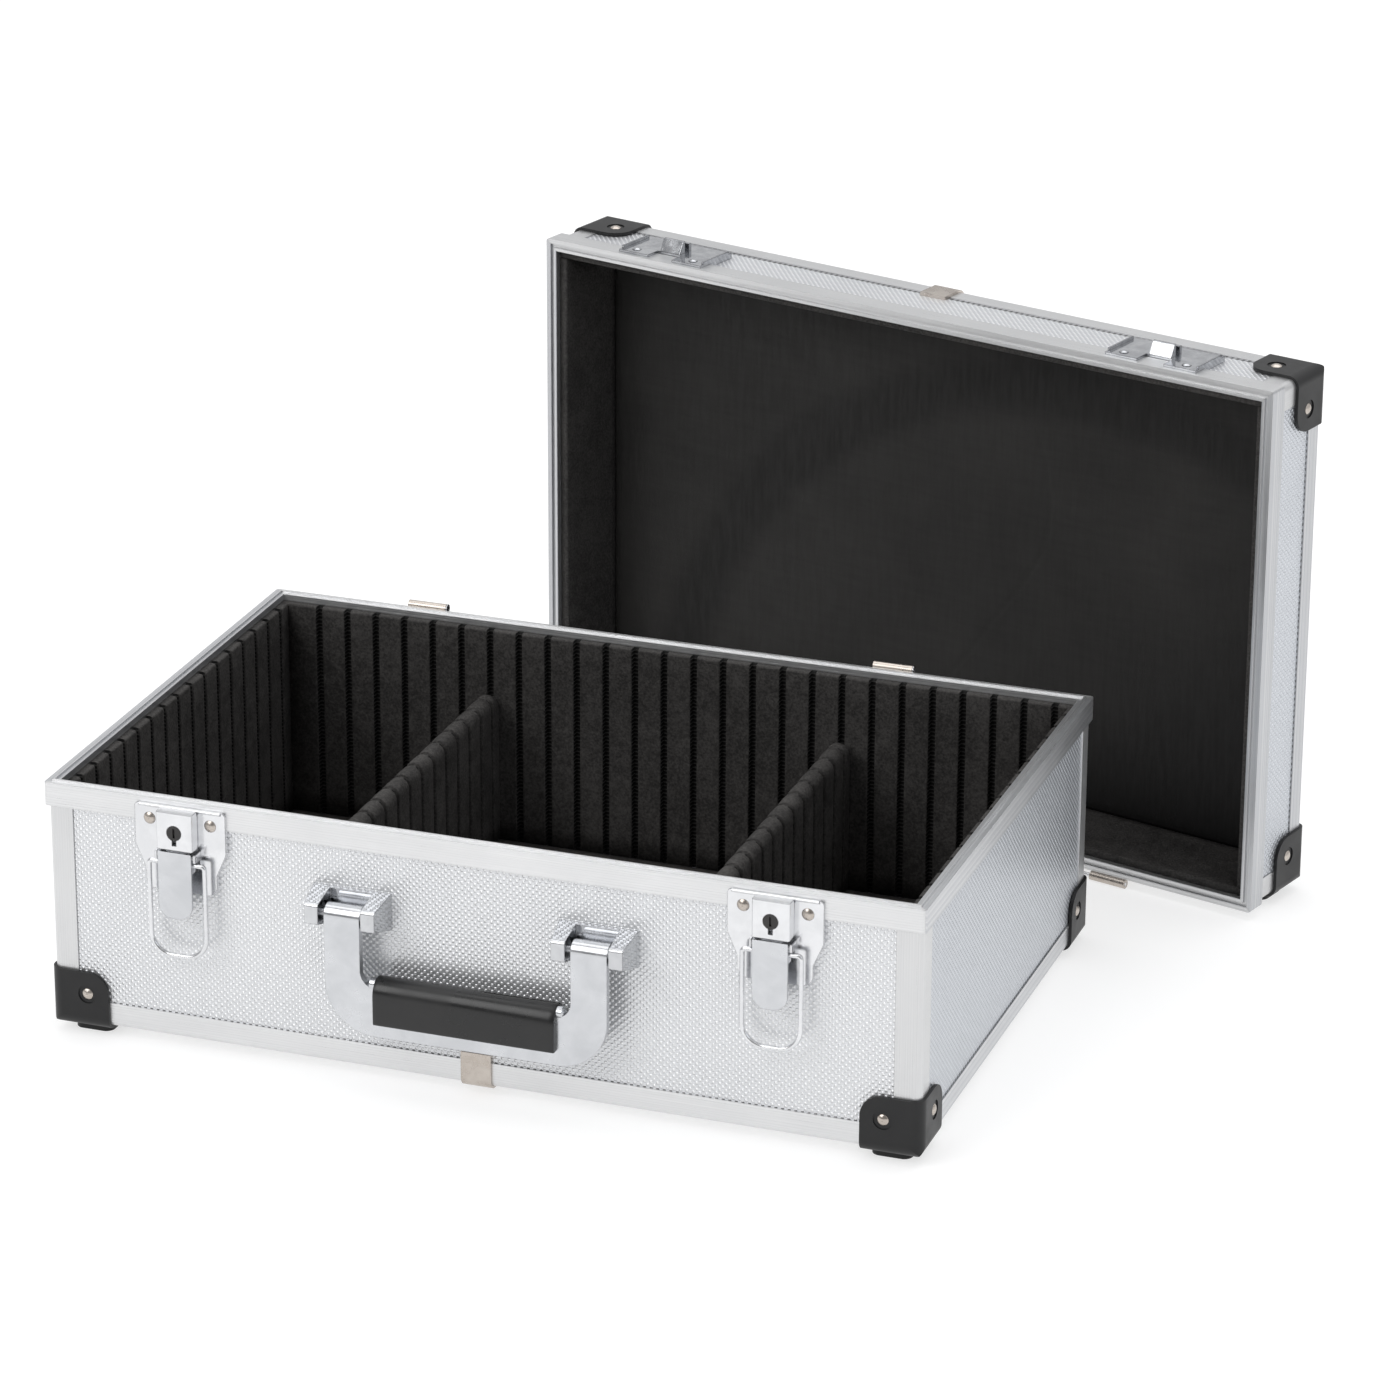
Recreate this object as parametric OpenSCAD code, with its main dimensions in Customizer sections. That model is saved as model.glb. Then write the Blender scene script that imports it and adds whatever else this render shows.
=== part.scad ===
// Aluminium record carrying case with a lift-off hinged lid, two draw latches,
// a folding handle and two lift-out dividers. Millimetres, +Z up, front (latch
// side) towards -Y, origin in the middle of the underside of the bottom panel.

/* [Overall] */
// Outside length of the case
case_w = 490; // [420:5:640]
// Outside depth of the case, front to back
case_d = 310; // [270:5:420]
// Height of the base from its lower edge to the top of its rim
base_h = 138.5; // [125:0.5:220]
// Depth of the lid from its rim to its outer edge
lid_h = 59; // [52:1:90]

/* [Rim frames] */
// Thickness of the inner flange of the rim frame
rim_inner_t = 1; // [0.8:0.1:1.8]
// Height of the outer flange of the rim frame
rim_flange_h = 13; // [12.4:0.2:16]
// Thickness of the outer flange of the rim frame
rim_flange_t = 2; // [1.6:0.1:2.4]
// Height of the inner flange of the rim frame
rim_inner_h = 7.6; // [6:0.2:9]
// Thickness of the top web of the rim frame
rim_web_t = 2.4; // [2.2:0.1:3]
// Height of the locating ridge on the base rim
ridge_h = 1; // [0.6:0.1:1.2]

/* [Edge extrusions] */
// Width of each leg of the corner posts and lower edges
leg_w = 14.5; // [12:0.5:17]
// Thickness of those legs
leg_t = 1.5; // [1.2:0.1:1.8]
// Outer rounding of the edges
edge_r = 4.5; // [3.5:0.1:5]

/* [Panels and linings] */
// Thickness of the laminate panels
panel_t = 4; // [3.6:0.1:5]
// Thickness of the foam on the walls
liner_t = 6; // [5:0.5:9]
// Thickness of the foam on the floor and inside the lid
pad_t = 3; // [2.4:0.2:5]
// Width of the divider slots in the wall foam
slot_w = 3.6; // [3.4:0.1:4.2]
// Depth of the divider slots
slot_depth = 4; // [3:0.5:4.5]
// Spacing of the divider slots
slot_pitch = 17.6; // [16:0.2:24]

/* [Dividers] */
// Slots from the middle one to each divider
divider_slot = 6; // [3:1:8]
// Thickness of a divider over its foam
divider_t = 12; // [10:0.5:14]
// Thickness of the stiff board inside a divider
board_t = 3; // [2.4:0.1:3]
// Height of a divider
divider_h = 90; // [60:1:100]

/* [Corner protectors] */
// Length of each face of a corner protector
protector_w = 34; // [30:1:40]
// Thickness of a corner protector
protector_t = 1.8; // [1.4:0.1:2.2]
// Height of the feet below the lower edge
foot_h = 6.5; // [5:0.5:9]

/* [Latches] */
// Distance of each latch and catch from the middle of the front
latch_x = 165.5; // [130:0.5:170]
// Width of a latch plate
latch_w = 52; // [48:1:60]
// Length of the wire loop from its pivot to its far bar
loop_len = 53.5; // [52:0.5:55]
// Diameter of the loop wire
loop_wire = 2.6; // [2.2:0.1:2.8]

/* [Handle] */
// Distance of each handle bracket from the middle of the front
handle_x = 68.8; // [60:0.2:85]
// Width of each flat leg of the handle
handle_leg_w = 20; // [16:1:20]
// Length of the handle from its pivot to its lower edge
handle_drop = 64.8; // [58:0.4:72]

/* [Hinges] */
// Distance of each hinge from the middle of the back
hinge_x = 140; // [100:1:180]
// Outside radius of the hinge knuckles
knuckle_r = 2.6; // [2.5:0.1:2.6]
// Diameter of the hinge pins
hinge_pin_d = 2.4; // [2:0.1:2.4]

/* [Lid placing] */
// Sideways distance of the lifted-off lid from the middle of the base
lid_out_x = 90.2; // [0:0.1:120]
// Distance of its rim from the back of the base
lid_out_gap = 115.2; // [100:0.1:160]
// Angle the lifted-off lid is turned about the vertical
lid_out_turn = 15.3; // [0:0.1:20]

/* [Show] */
// Which piece to draw

/* [Hidden] */
$fn = 96;
eps = 0.01;
hx = case_w / 2;
hy = case_d / 2;
// The posts, edges and panels step in from the rim.
post_in = 1.3;
ex = hx - post_in;
ey = hy - post_in;
px = hx - rim_flange_t;
py = hy - rim_flange_t;
panel_relief = px - (ex - leg_t);
// Width of the rim frame, seen from above: the two flanges and the panel between.
rim_w = rim_flange_t + panel_t + rim_inner_t;
// Inner faces of the panels and of the wall foam, and heights from the lower edge.
ix = px - panel_t;
iy = py - panel_t;
fx = ix - liner_t;
fy = iy - liner_t;
floor_out = leg_t - panel_relief;
floor_in = floor_out + panel_t;
block_w = ex - ix;
// The underside of the bottom panel is at z = 0, the floor below it.
base_lift = -floor_out;
floor_z = base_lift - foot_h;
rim_z = base_h + base_lift;
liner_drop = 3.6;
soft_gap = 0.3;
// Hairline joints between the rim lengths and between the wall foams.
mitre_gap = 0.05;
butt_gap = 0.1;
rim_corner_r = 2;
rim_gap = 0.4;
groove_w = 2.2;
groove_depth = 1.4;
ridge_w = 1.2;
ridge_u = 4;
shank_r = 1.6;
hole_r = 1.65;
// Divider slots, counted from a slot near the middle.
slot_shift = -2.8;
slots_left = floor((fx - slot_w / 2 - 1 + slot_shift) / slot_pitch);
slots_right = floor((fx - slot_w / 2 - 1 - slot_shift) / slot_pitch);
slots_side = floor((fy - slot_w / 2 - 1 - slot_pitch / 2) / slot_pitch);
// Corner protectors and their rivets.
prot_r = edge_r + protector_t;
prot_corner_r = 12;
prot_rivet_in = 21.5;
prot_rivet_up = 20;
dimple_r = 5.2;
dimple_depth = 0.7;
foot_w = 22;
foot_in = 7;
lid_foot_h = 6.7;
// Latch heights are measured down from the top of the base rim.
plate_q = rim_flange_t + 1.5;
plate_top = rim_z - 2.5;
plate_low = rim_z - 51;
latch_rivet_x = 17.4;
latch_rivet_z = rim_z - 10.8;
housing_w = 20.5;
housing_top = rim_z - 3;
housing_low = rim_z - 24;
housing_q = 11.5;
plug_z = rim_z - 14.2;
plug_r = 4.1;
lever_q = 9.5;
lever_z = rim_z - 28;
loop_q = 9;
loop_z = rim_z - 32.2;
loop_x = 15.9;
loop_bend = 12;
pin_r = 1.2;
lever_front_q = 12;
sheet_t = 1.2;
lever_low = rim_z - 63;
lever_top = rim_z - 25.2;
lever_half = 9.6;
// The far bar of the closed loop lies this far above the closed lid rim.
hook_w = 20.8;
// Handle pivot, from the top of the base rim down and from the panel out.
pivot_z = rim_z - 46.5;
pivot_q = 10.5;
bracket_w = 44;
bracket_q = 19.5;
bracket_slot = 24;
bracket_web = 2.5;
bracket_low = pivot_z - 9.3;
// The sides of a bracket close in by this much towards its front.
bracket_taper = 2.2;
barrel_r = 6;
bow_low = pivot_z - handle_drop;
bow_r = 28;
grip_half = handle_x - 18.1;
grip_low = bow_low + 8.3;
grip_top = grip_low + 25;
handle_pin_r = 2;
running_gap = 0.05;
press_gap = 0.02;
// Bracket profile, up from its lower edge: height at the wall, top of the front
// lip with its radius, and lower edge of the front face.
bracket_h = 20.3;
bracket_lip = 16.8;
bracket_lip_r = 2;
bracket_foot = 5.5;
bow_t = 4;
bow_bar = 27.5;
bow_fillet = 9;
knob_r = 3.4;
bow_front_q = pivot_q + barrel_r;
// Hinge axis, out from the back of the rims and up from the base rim.
axis_out = 2.7;
axis_up = rim_gap / 2;
leaf_t = 1.2;
leaf_h = 11.8;
leaf_cut = 3.8;
knuckle_len = 22.9;
knuckle_off = 0.5;
bush_r = 1.95;
bush_bore = hinge_pin_d / 2 + running_gap;
bush_flange_t = 0.7;
hinge_rivet_up = 8.5;
hinge_rivet_step = 14;
pin_free = 22;
catch_rivet_x = 20;

silver = [0.80, 0.81, 0.82];
panel_silver = [0.74, 0.76, 0.77];
chrome = [0.87, 0.88, 0.90];
nickel = [0.76, 0.73, 0.68];
black = [0.07, 0.07, 0.075];
foam_black = [0.10, 0.10, 0.11];

// ---------- flat shapes ----------

// Rectangle centred on the origin with rounded corners.
module round_slab(w, d, r) {
  square([w - 2 * r, d], center = true);
  square([w, d - 2 * r], center = true);
  for (sx = [-1, 1], sy = [-1, 1])
    translate([sx * (w / 2 - r), sy * (d / 2 - r)])
      circle(r);
}

// Rectangle standing on the x axis with its two lower corners rounded.
module round_tub(w, h, r) {
  translate([-w / 2, r])
    square([w, h - r]);
  translate([-w / 2 + r, 0])
    square([w - 2 * r, h]);
  for (s = [-1, 1])
    translate([s * (w / 2 - r), r])
      circle(r);
}

// Rectangle from the origin with its far corner rounded.
module corner_flap(w, h, r) {
  square([w - r, h]);
  square([w, h - r]);
  translate([w - r, h - r])
    circle(r);
}

// ---------- moving a shape into place ----------

// The tray frame: opening up, lower edges at z = 0, hinge side towards +Y.
module base_place() {
  translate([0, 0, base_lift])
    children();
}

// The lid lifted off, standing on its hinge side with its opening to the front.
module lid_place() {
  translate([lid_out_x, hy + lid_out_gap, floor_z + lid_foot_h - post_in])
    rotate([0, 0, -lid_out_turn])
      translate([0, lid_h, hy])
        rotate([0, 180, 0])
          rotate([90, 0, 0])
            children();
}

// A tray is built twice: as the base and as the lid.
module at_corners() {
  for (mx = [0, 1], my = [0, 1])
    mirror([mx, 0, 0])
      mirror([0, my, 0])
        children();
}

// Block with its outer vertical and lower edges rounded.
module edge_block(grow, r, h) {
  intersection() {
    translate([0, 0, -grow])
      linear_extrude(h + grow)
        round_slab(2 * (ex + grow), 2 * (ey + grow), r);
    rotate([90, 0, 0])
      translate([0, -grow, 0])
        linear_extrude(2 * (ey + grow), center = true)
          round_tub(2 * (ex + grow), h + grow, r);
    rotate([90, 0, 90])
      translate([0, -grow, 0])
        linear_extrude(2 * (ex + grow), center = true)
          round_tub(2 * (ey + grow), h + grow, r);
  }
}

// ---------- tray pieces, shared by base and lid ----------

// Long panel behind the front (side = -1) or back (side = 1).
module long_panel(h, side) {
  difference() {
    translate([-ix, side > 0 ? iy : -py, floor_in])
      cube([2 * ix, panel_t, h - rim_web_t - floor_in]);
    for (s = [-1, 1])
      translate([s > 0 ? ex - leg_w : -ix - 1, side > 0 ? py - panel_relief : -py - 1, floor_in - 1])
        cube([ix - ex + leg_w + 1, panel_relief + 1, h - rim_flange_h - floor_in + 1]);
    translate([-ix - 1, side > 0 ? py - panel_relief : -py - 1, floor_in - 1])
      cube([2 * ix + 2, panel_relief + 1, leg_w - floor_in + 1]);
  }
}

// Short panel at the left (side = -1) or right (side = 1).
module short_panel(h, side) {
  difference() {
    translate([side > 0 ? ix : -px, -iy, floor_in])
      cube([panel_t, 2 * iy, h - rim_web_t - floor_in]);
    for (s = [-1, 1])
      translate([side > 0 ? px - panel_relief : -px - 1, s > 0 ? ey - leg_w : -iy - 1, floor_in - 1])
        cube([panel_relief + 1, iy - ey + leg_w + 1, h - rim_flange_h - floor_in + 1]);
    translate([side > 0 ? px - panel_relief : -px - 1, -iy - 1, floor_in - 1])
      cube([panel_relief + 1, 2 * iy + 2, leg_w - floor_in + 1]);
  }
}

// Panel that closes the tray, thinned where the edge legs lap over it.
module wide_panel() {
  translate([-ix, -iy, leg_t])
    cube([2 * ix, 2 * iy, floor_in - leg_t]);
  translate([leg_w - ex, leg_w - ey, floor_out])
    cube([2 * (ex - leg_w), 2 * (ey - leg_w), panel_relief + eps]);
}

// Cross-section of the rim frame: x runs inwards from the outer face, y up.
module rim_section(h, ridge) {
  difference() {
    union() {
      translate([0, h - rim_flange_h])
        square([rim_flange_t, rim_flange_h]);
      translate([0, h - rim_web_t])
        square([rim_w, rim_web_t]);
      translate([rim_w - rim_inner_t, h - rim_inner_h])
        square([rim_inner_t, rim_inner_h]);
      if (ridge)
        translate([ridge_u - ridge_w / 2, h - eps])
          square([ridge_w, ridge_h + eps]);
    }
    if (!ridge)
      translate([ridge_u - groove_w / 2, h - groove_depth])
        square([groove_w, groove_depth + 1]);
  }
}

// One straight length of rim along X, mitred at both ends.
module rim_length(half_len, half_depth, h, ridge) {
  intersection() {
    translate([-half_len, -half_depth, 0])
      rotate([90, 0, 90])
        linear_extrude(2 * half_len)
          rim_section(h, ridge);
    translate([0, 0, h - rim_flange_h - 1])
      linear_extrude(rim_flange_h + 3)
        polygon([
          [mitre_gap - half_len, -half_depth],
          [half_len - mitre_gap, -half_depth],
          [half_len - mitre_gap - 2 * rim_w, 2 * rim_w - half_depth],
          [mitre_gap + 2 * rim_w - half_len, 2 * rim_w - half_depth]
        ]);
  }
}

module tray_rim(h, ridge) {
  intersection() {
    union() {
      for (a = [0, 180])
        rotate([0, 0, a])
          rim_length(hx, hy, h, ridge);
      for (a = [90, 270])
        rotate([0, 0, a])
          rim_length(hy, hx, h, ridge);
    }
    translate([0, 0, h - rim_flange_h - 1])
      linear_extrude(rim_flange_h + 3)
        round_slab(case_w, case_d, rim_corner_r);
  }
}

// One corner post with its foot, and a tongue that runs up into the rim.
module tray_post(h) {
  intersection() {
    edge_block(0, edge_r, h - rim_flange_h);
    union() {
      translate([ex - leg_w, ey - leg_t, 0])
        cube([leg_w, leg_t, h]);
      translate([ex - leg_t, ey - leg_w, 0])
        cube([leg_t, leg_w, h]);
      translate([ix, iy, 0])
        cube([block_w, block_w, h]);
      translate([ex - leg_w, ey - leg_w, 0])
        cube([leg_w, leg_w, leg_t]);
      translate([ex - leg_w, iy, 0])
        cube([leg_w, block_w, floor_in]);
      translate([ix, ey - leg_w, 0])
        cube([block_w, leg_w, floor_in]);
    }
  }
  translate([ix, iy, h - rim_flange_h - eps])
    cube([px - ix, py - iy, rim_flange_h - rim_web_t + eps]);
}

// Lower edge along X on the +Y side, between two post feet.
module long_edge() {
  intersection() {
    edge_block(0, edge_r, 2 * leg_w);
    translate([leg_w - ex, 0, 0])
      union() {
        translate([0, ey - leg_t, 0])
          cube([2 * (ex - leg_w), leg_t, leg_w]);
        translate([0, ey - leg_w, 0])
          cube([2 * (ex - leg_w), leg_w, leg_t]);
        translate([0, iy, 0])
          cube([2 * (ex - leg_w), block_w, floor_in]);
      }
  }
}

// Lower edge along Y on the +X side, between two post feet.
module short_edge() {
  intersection() {
    edge_block(0, edge_r, 2 * leg_w);
    translate([0, leg_w - ey, 0])
      union() {
        translate([ex - leg_t, 0, 0])
          cube([leg_t, 2 * (ey - leg_w), leg_w]);
        translate([ex - leg_w, 0, 0])
          cube([leg_w, 2 * (ey - leg_w), leg_t]);
        translate([ix, 0, 0])
          cube([block_w, 2 * (ey - leg_w), floor_in]);
      }
  }
}

module tray_edges() {
  long_edge();
  mirror([0, 1, 0])
    long_edge();
  short_edge();
  mirror([1, 0, 0])
    short_edge();
}

// Protector at the +X +Y corner. The foot is below (tray standing on its
// wide panel) or behind (tray standing on its hinge side).
module protector(foot_below, foot_behind) {
  cx = ex + protector_t;
  cy = ey + protector_t;
  cz = -protector_t;
  difference() {
    intersection() {
      edge_block(protector_t, prot_r, 2 * protector_w);
      union() {
        translate([cx, cy, cz])
          rotate([0, 0, -90])
            rotate([90, 0, 0])
              linear_extrude(prot_r)
                corner_flap(protector_w, protector_w - 1, prot_corner_r);
        translate([cx, cy - prot_r, cz])
          mirror([1, 0, 0])
            rotate([90, 0, 0])
              translate([0, 0, -prot_r])
                linear_extrude(prot_r)
                  corner_flap(protector_w, protector_w - 1, prot_corner_r);
        translate([cx, cy, cz])
          mirror([1, 0, 0])
            mirror([0, 1, 0])
              linear_extrude(prot_r)
                corner_flap(protector_w, protector_w, prot_corner_r);
      }
    }
    edge_block(0, edge_r, 3 * protector_w);
    protector_rivets_at(foot_below, foot_behind)
      translate([0, 0, -dimple_depth])
        cylinder(h = 5, r = dimple_r);
    protector_rivets_at(foot_below, foot_behind)
      translate([0, 0, -4])
        cylinder(h = 8, r = hole_r);
  }
  if (foot_below)
    translate([ex - foot_in - foot_w, ey - foot_in - foot_w, -foot_h])
      foot_pad(foot_h - protector_t + eps);
  if (foot_behind)
    translate([ex - foot_in - foot_w, ey + lid_foot_h, foot_in])
      rotate([90, 0, 0])
        foot_pad(lid_foot_h - protector_t + eps);
}

// Square foot with rounded corners, from its own low corner upwards.
module foot_pad(h) {
  translate([foot_w / 2, foot_w / 2, 0])
    linear_extrude(h)
      round_slab(foot_w, foot_w, 5);
}

// Seats of the rivets of the +X +Y protector, local +z pointing outwards.
module protector_rivets_at(foot_below, foot_behind) {
  cx = ex + protector_t;
  cy = ey + protector_t;
  translate([cx, cy - prot_rivet_in, prot_rivet_up - protector_t])
    rotate([0, 90, 0])
      children();
  if (!foot_behind)
    translate([cx - prot_rivet_in, cy, prot_rivet_up - protector_t])
      rotate([-90, 0, 0])
        children();
  if (!foot_below)
    translate([cx - prot_rivet_in, cy - prot_rivet_in, -protector_t])
      rotate([180, 0, 0])
        children();
}

// Domed rivet seated on local z = 0, its head above and its shank below.
module rivet(head_r, head_h, len) {
  ball_r = (head_r * head_r + head_h * head_h) / (2 * head_h);
  intersection() {
    translate([0, 0, head_h - ball_r])
      sphere(ball_r);
    cylinder(h = head_h, r = head_r);
  }
  translate([0, 0, -len])
    cylinder(h = len + eps, r = shank_r);
}

// All rivet seats of a tray; the lid has none under its two feet.
module protector_seats(lid) {
  for (mx = [0, 1], my = [0, 1])
    mirror([mx, 0, 0])
      mirror([0, my, 0])
        protector_rivets_at(!lid, lid && my == 0)
          translate([0, 0, -dimple_depth])
            children();
}

module protector_rivet_set(lid) {
  protector_seats(lid)
    rivet(3.3, 1.3, protector_t - dimple_depth + ex - ix);
}

// Holes for those rivets through the panels.
module protector_holes(lid) {
  protector_seats(lid)
    translate([0, 0, -12])
      cylinder(h = 16, r = hole_r);
}

// Flat clip wrapped around the middle of a lower front edge.
module edge_clip() {
  clip_t = 1.4;
  clip_half = 8.5;
  clip_up = leg_w + 5;
  difference() {
    intersection() {
      edge_block(clip_t, edge_r + clip_t, 2 * clip_up);
      union() {
        translate([-clip_half, -ey - clip_t, -clip_t])
          cube([2 * clip_half, edge_r + clip_t, clip_up + clip_t]);
        translate([-clip_half, -ey - clip_t, -clip_t])
          cube([2 * clip_half, leg_w + clip_t, edge_r + clip_t]);
      }
    }
    edge_block(0, edge_r, 3 * clip_up);
  }
  translate([-clip_half, -ey - eps, leg_w])
    cube([2 * clip_half, ey - py + eps, clip_up - leg_w]);
}

// Wall foam along X on the +Y side, stepped back behind the inner rim flange.
module long_foam(h, slots) {
  difference() {
    translate([-ix, fy, floor_in])
      cube([2 * ix, liner_t, h - liner_drop - floor_in]);
    rim_relief(h);
    if (slots)
      for (k = [-slots_left : slots_right])
        translate([slot_shift + k * slot_pitch - slot_w / 2, fy - 1, floor_in - 1])
          cube([slot_w, slot_depth + 1, h]);
  }
}

// Wall foam along Y on the +X side, between the two long foams.
module short_foam(h, slots) {
  difference() {
    translate([fx, butt_gap - fy, floor_in])
      cube([liner_t, 2 * (fy - butt_gap), h - liner_drop - floor_in]);
    rim_relief(h);
    if (slots)
      for (k = [-slots_side - 1 : slots_side])
        translate([fx - 1, (k + 0.5) * slot_pitch - slot_w / 2, floor_in - 1])
          cube([slot_depth + 1, slot_w, h]);
  }
}

// Room for the inner flange of the rim at the top of the foam.
module rim_relief(h) {
  relief = hx - rim_w - fx;
  difference() {
    translate([-hx, -hy, h - rim_inner_h])
      cube([case_w, case_d, rim_inner_h]);
    translate([-fx - relief, -fy - relief, h - rim_inner_h - 1])
      cube([2 * (fx + relief), 2 * (fy + relief), rim_inner_h + 2]);
  }
}

module pad() {
  translate([-fx, -fy, floor_in])
    cube([2 * fx, 2 * fy, pad_t]);
}

// ---------- hinges ----------

// Leaf with its knuckle on the -X half and a cut for the mate's knuckle on the other.
module leaf(centre, h, bore_r) {
  half = knuckle_len + knuckle_off;
  axis_y = hy + axis_out;
  axis_z = h + axis_up;
  difference() {
    union() {
      difference() {
        translate([centre - half, hy, h - leaf_h])
          cube([2 * half, leaf_t, leaf_h]);
        translate([centre - knuckle_off, hy - 1, h - leaf_cut])
          cube([half + knuckle_off + 1, leaf_t + 2, leaf_cut + 1]);
      }
      translate([centre - half, hy, h - 3])
        cube([knuckle_len, leaf_t, 3 + axis_up]);
      translate([centre - half, axis_y, axis_z])
        rotate([0, 90, 0])
          cylinder(h = knuckle_len, r = knuckle_r);
    }
    translate([centre - half - 1, axis_y, axis_z])
      rotate([0, 90, 0])
        cylinder(h = knuckle_len + 2, r = bore_r);
    hinge_rivets_at(centre, h)
      translate([0, 0, -6])
        cylinder(h = 12, r = hole_r);
  }
}

// Rivet seats on a leaf, local +z pointing outwards.
module hinge_rivets_at(centre, h) {
  for (s = [-1, 0, 1])
    translate([centre + s * hinge_rivet_step, hy + leaf_t, h - hinge_rivet_up])
      rotate([-90, 0, 0])
        children();
}

// ---------- front hardware positions ----------

// Latch frame: origin on the face of the front panel at the middle of the
// latch, z still measured from the origin, outwards towards -Y.
module latch_place(side) {
  translate([side * latch_x, -py, 0])
    children();
}

module latch_rivets_at(z) {
  for (s = [-1, 1])
    translate([s * latch_rivet_x, -plate_q, z])
      rotate([90, 0, 0])
        children();
}

// ---------- base nodes ----------

module base_front_panel() {
  color(panel_silver)
    difference() {
      base_place()
        difference() {
          long_panel(base_h, -1);
          protector_holes(false);
        }
      for (s = [-1, 1])
        latch_place(s)
          latch_rivets_at(latch_rivet_z)
            translate([0, 0, -9])
              cylinder(h = 12, r = hole_r);
      bracket_screws_at()
        countersunk(true);
    }
}

module base_back_panel() {
  color(panel_silver)
    base_place()
      difference() {
        long_panel(base_h, 1);
        protector_holes(false);
        for (s = [-1, 1])
          hinge_rivets_at(s * hinge_x, base_h)
            translate([0, 0, -12])
              cylinder(h = 14, r = hole_r);
      }
}

module base_left_panel() {
  color(panel_silver)
    base_place()
      difference() {
        short_panel(base_h, -1);
        protector_holes(false);
      }
}

module base_right_panel() {
  color(panel_silver)
    base_place()
      difference() {
        short_panel(base_h, 1);
        protector_holes(false);
      }
}

module base_bottom_panel() {
  color(panel_silver)
    base_place()
      wide_panel();
}

module base_rim() {
  color(silver)
    difference() {
      base_place()
        difference() {
          tray_rim(base_h, true);
          for (s = [-1, 1])
            hinge_rivets_at(s * hinge_x, base_h)
              translate([0, 0, -12])
                cylinder(h = 14, r = hole_r);
        }
      for (s = [-1, 1])
        latch_place(s)
          latch_rivets_at(latch_rivet_z)
            translate([0, 0, -9])
              cylinder(h = 12, r = hole_r);
    }
}

module base_corner_posts() {
  color(silver)
    base_place()
      at_corners()
        tray_post(base_h);
}

module base_bottom_edges() {
  color(silver)
    base_place()
      tray_edges();
}

module base_corner_protectors() {
  color(black)
    base_place()
      at_corners()
        protector(true, false);
}

module base_protector_rivets() {
  color(nickel)
    base_place()
      protector_rivet_set(false);
}

module base_edge_clip() {
  color(nickel)
    base_place()
      edge_clip();
}

module front_liner() {
  color(foam_black)
    base_place()
      mirror([0, 1, 0])
        long_foam(base_h, true);
}

module back_liner() {
  color(foam_black)
    base_place()
      long_foam(base_h, true);
}

module end_liners() {
  color(foam_black)
    base_place()
      for (m = [0, 1])
        mirror([m, 0, 0])
          short_foam(base_h, true);
}

module floor_pad() {
  color(foam_black)
    base_place()
      pad();
}

module base_hinge_leaves() {
  color(nickel)
    base_place()
      for (s = [-1, 1])
        leaf(s * hinge_x, base_h, bush_r + running_gap);
}

// Flanged sleeves that line the base knuckles.
module hinge_bushes() {
  color(black)
    base_place()
      for (s = [-1, 1])
        translate([s * hinge_x, hy + axis_out, base_h + axis_up])
          rotate([0, 90, 0])
            difference() {
              union() {
                translate([0, 0, -knuckle_off - knuckle_len])
                  cylinder(h = knuckle_len + knuckle_off, r = bush_r);
                translate([0, 0, -bush_flange_t / 2])
                  cylinder(h = bush_flange_t, r = knuckle_r);
              }
              translate([0, 0, -knuckle_len - 2])
                cylinder(h = knuckle_len + 4, r = bush_bore);
            }
}

// ---------- handle ----------

module bracket_screws_at() {
  for (side = [-1, 1], s = [-1, 1])
    translate([side * handle_x + s * 16.3, panel_t - py, pivot_z + 2])
      rotate([90, 0, 0])
        children();
}

// Countersunk screw driven from inside: head at z = 0, shank along +z.
module countersunk(hole) {
  grow = hole ? running_gap : 0;
  translate([0, 0, hole ? -1 : 0])
    cylinder(h = 0.8 + (hole ? 1 : 0), r = 3.6 + grow);
  translate([0, 0, 0.8 - eps])
    cylinder(h = 1.8, r1 = 3.6 + grow, r2 = 1.9 + grow);
  cylinder(h = panel_t + 7 + (hole ? 0.5 : 0), r = 1.9 + grow);
}

module bracket_screws() {
  color(nickel)
    bracket_screws_at()
      countersunk(false);
}

// Side view of a bracket: deep at the wall, with a sloping top and a front lip.
module bracket_profile() {
  hull() {
    translate([-1, 0])
      square([1, bracket_h]);
    translate([bracket_lip_r - bracket_q, bracket_lip - bracket_lip_r])
      circle(bracket_lip_r);
    translate([-bracket_q, bracket_foot])
      square([1, 1]);
  }
}

// Fork bracket: wedge with a slot for the handle leg, narrower at the front.
module bracket(side) {
  half = bracket_w / 2;
  difference() {
    translate([side * handle_x, -py, bracket_low])
      difference() {
        intersection() {
          rotate([90, 0, 90])
            linear_extrude(bracket_w, center = true)
              bracket_profile();
          linear_extrude(bracket_h)
            polygon([
              [-half, 0],
              [bracket_taper - half, -bracket_q],
              [half - bracket_taper, -bracket_q],
              [half, 0]
            ]);
        }
        translate([-bracket_slot / 2, -bracket_q - 1, -1])
          cube([bracket_slot, bracket_q + 1 - bracket_web, bracket_h + 2]);
        translate([0, -pivot_q, pivot_z - bracket_low])
          rotate([0, 90, 0])
            cylinder(h = bracket_slot + 12.1, r = handle_pin_r + press_gap, center = true);
      }
    bracket_screws_at()
      countersunk(true);
  }
}

module handle_left_bracket() {
  color(chrome)
    bracket(-1);
}

module handle_right_bracket() {
  color(chrome)
    bracket(1);
}

module handle_pins() {
  color(nickel)
    for (s = [-1, 1])
      translate([s * handle_x, -py - pivot_q, pivot_z])
        rotate([0, 90, 0])
          cylinder(h = bracket_slot + 12, r = handle_pin_r, center = true);
}

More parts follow.
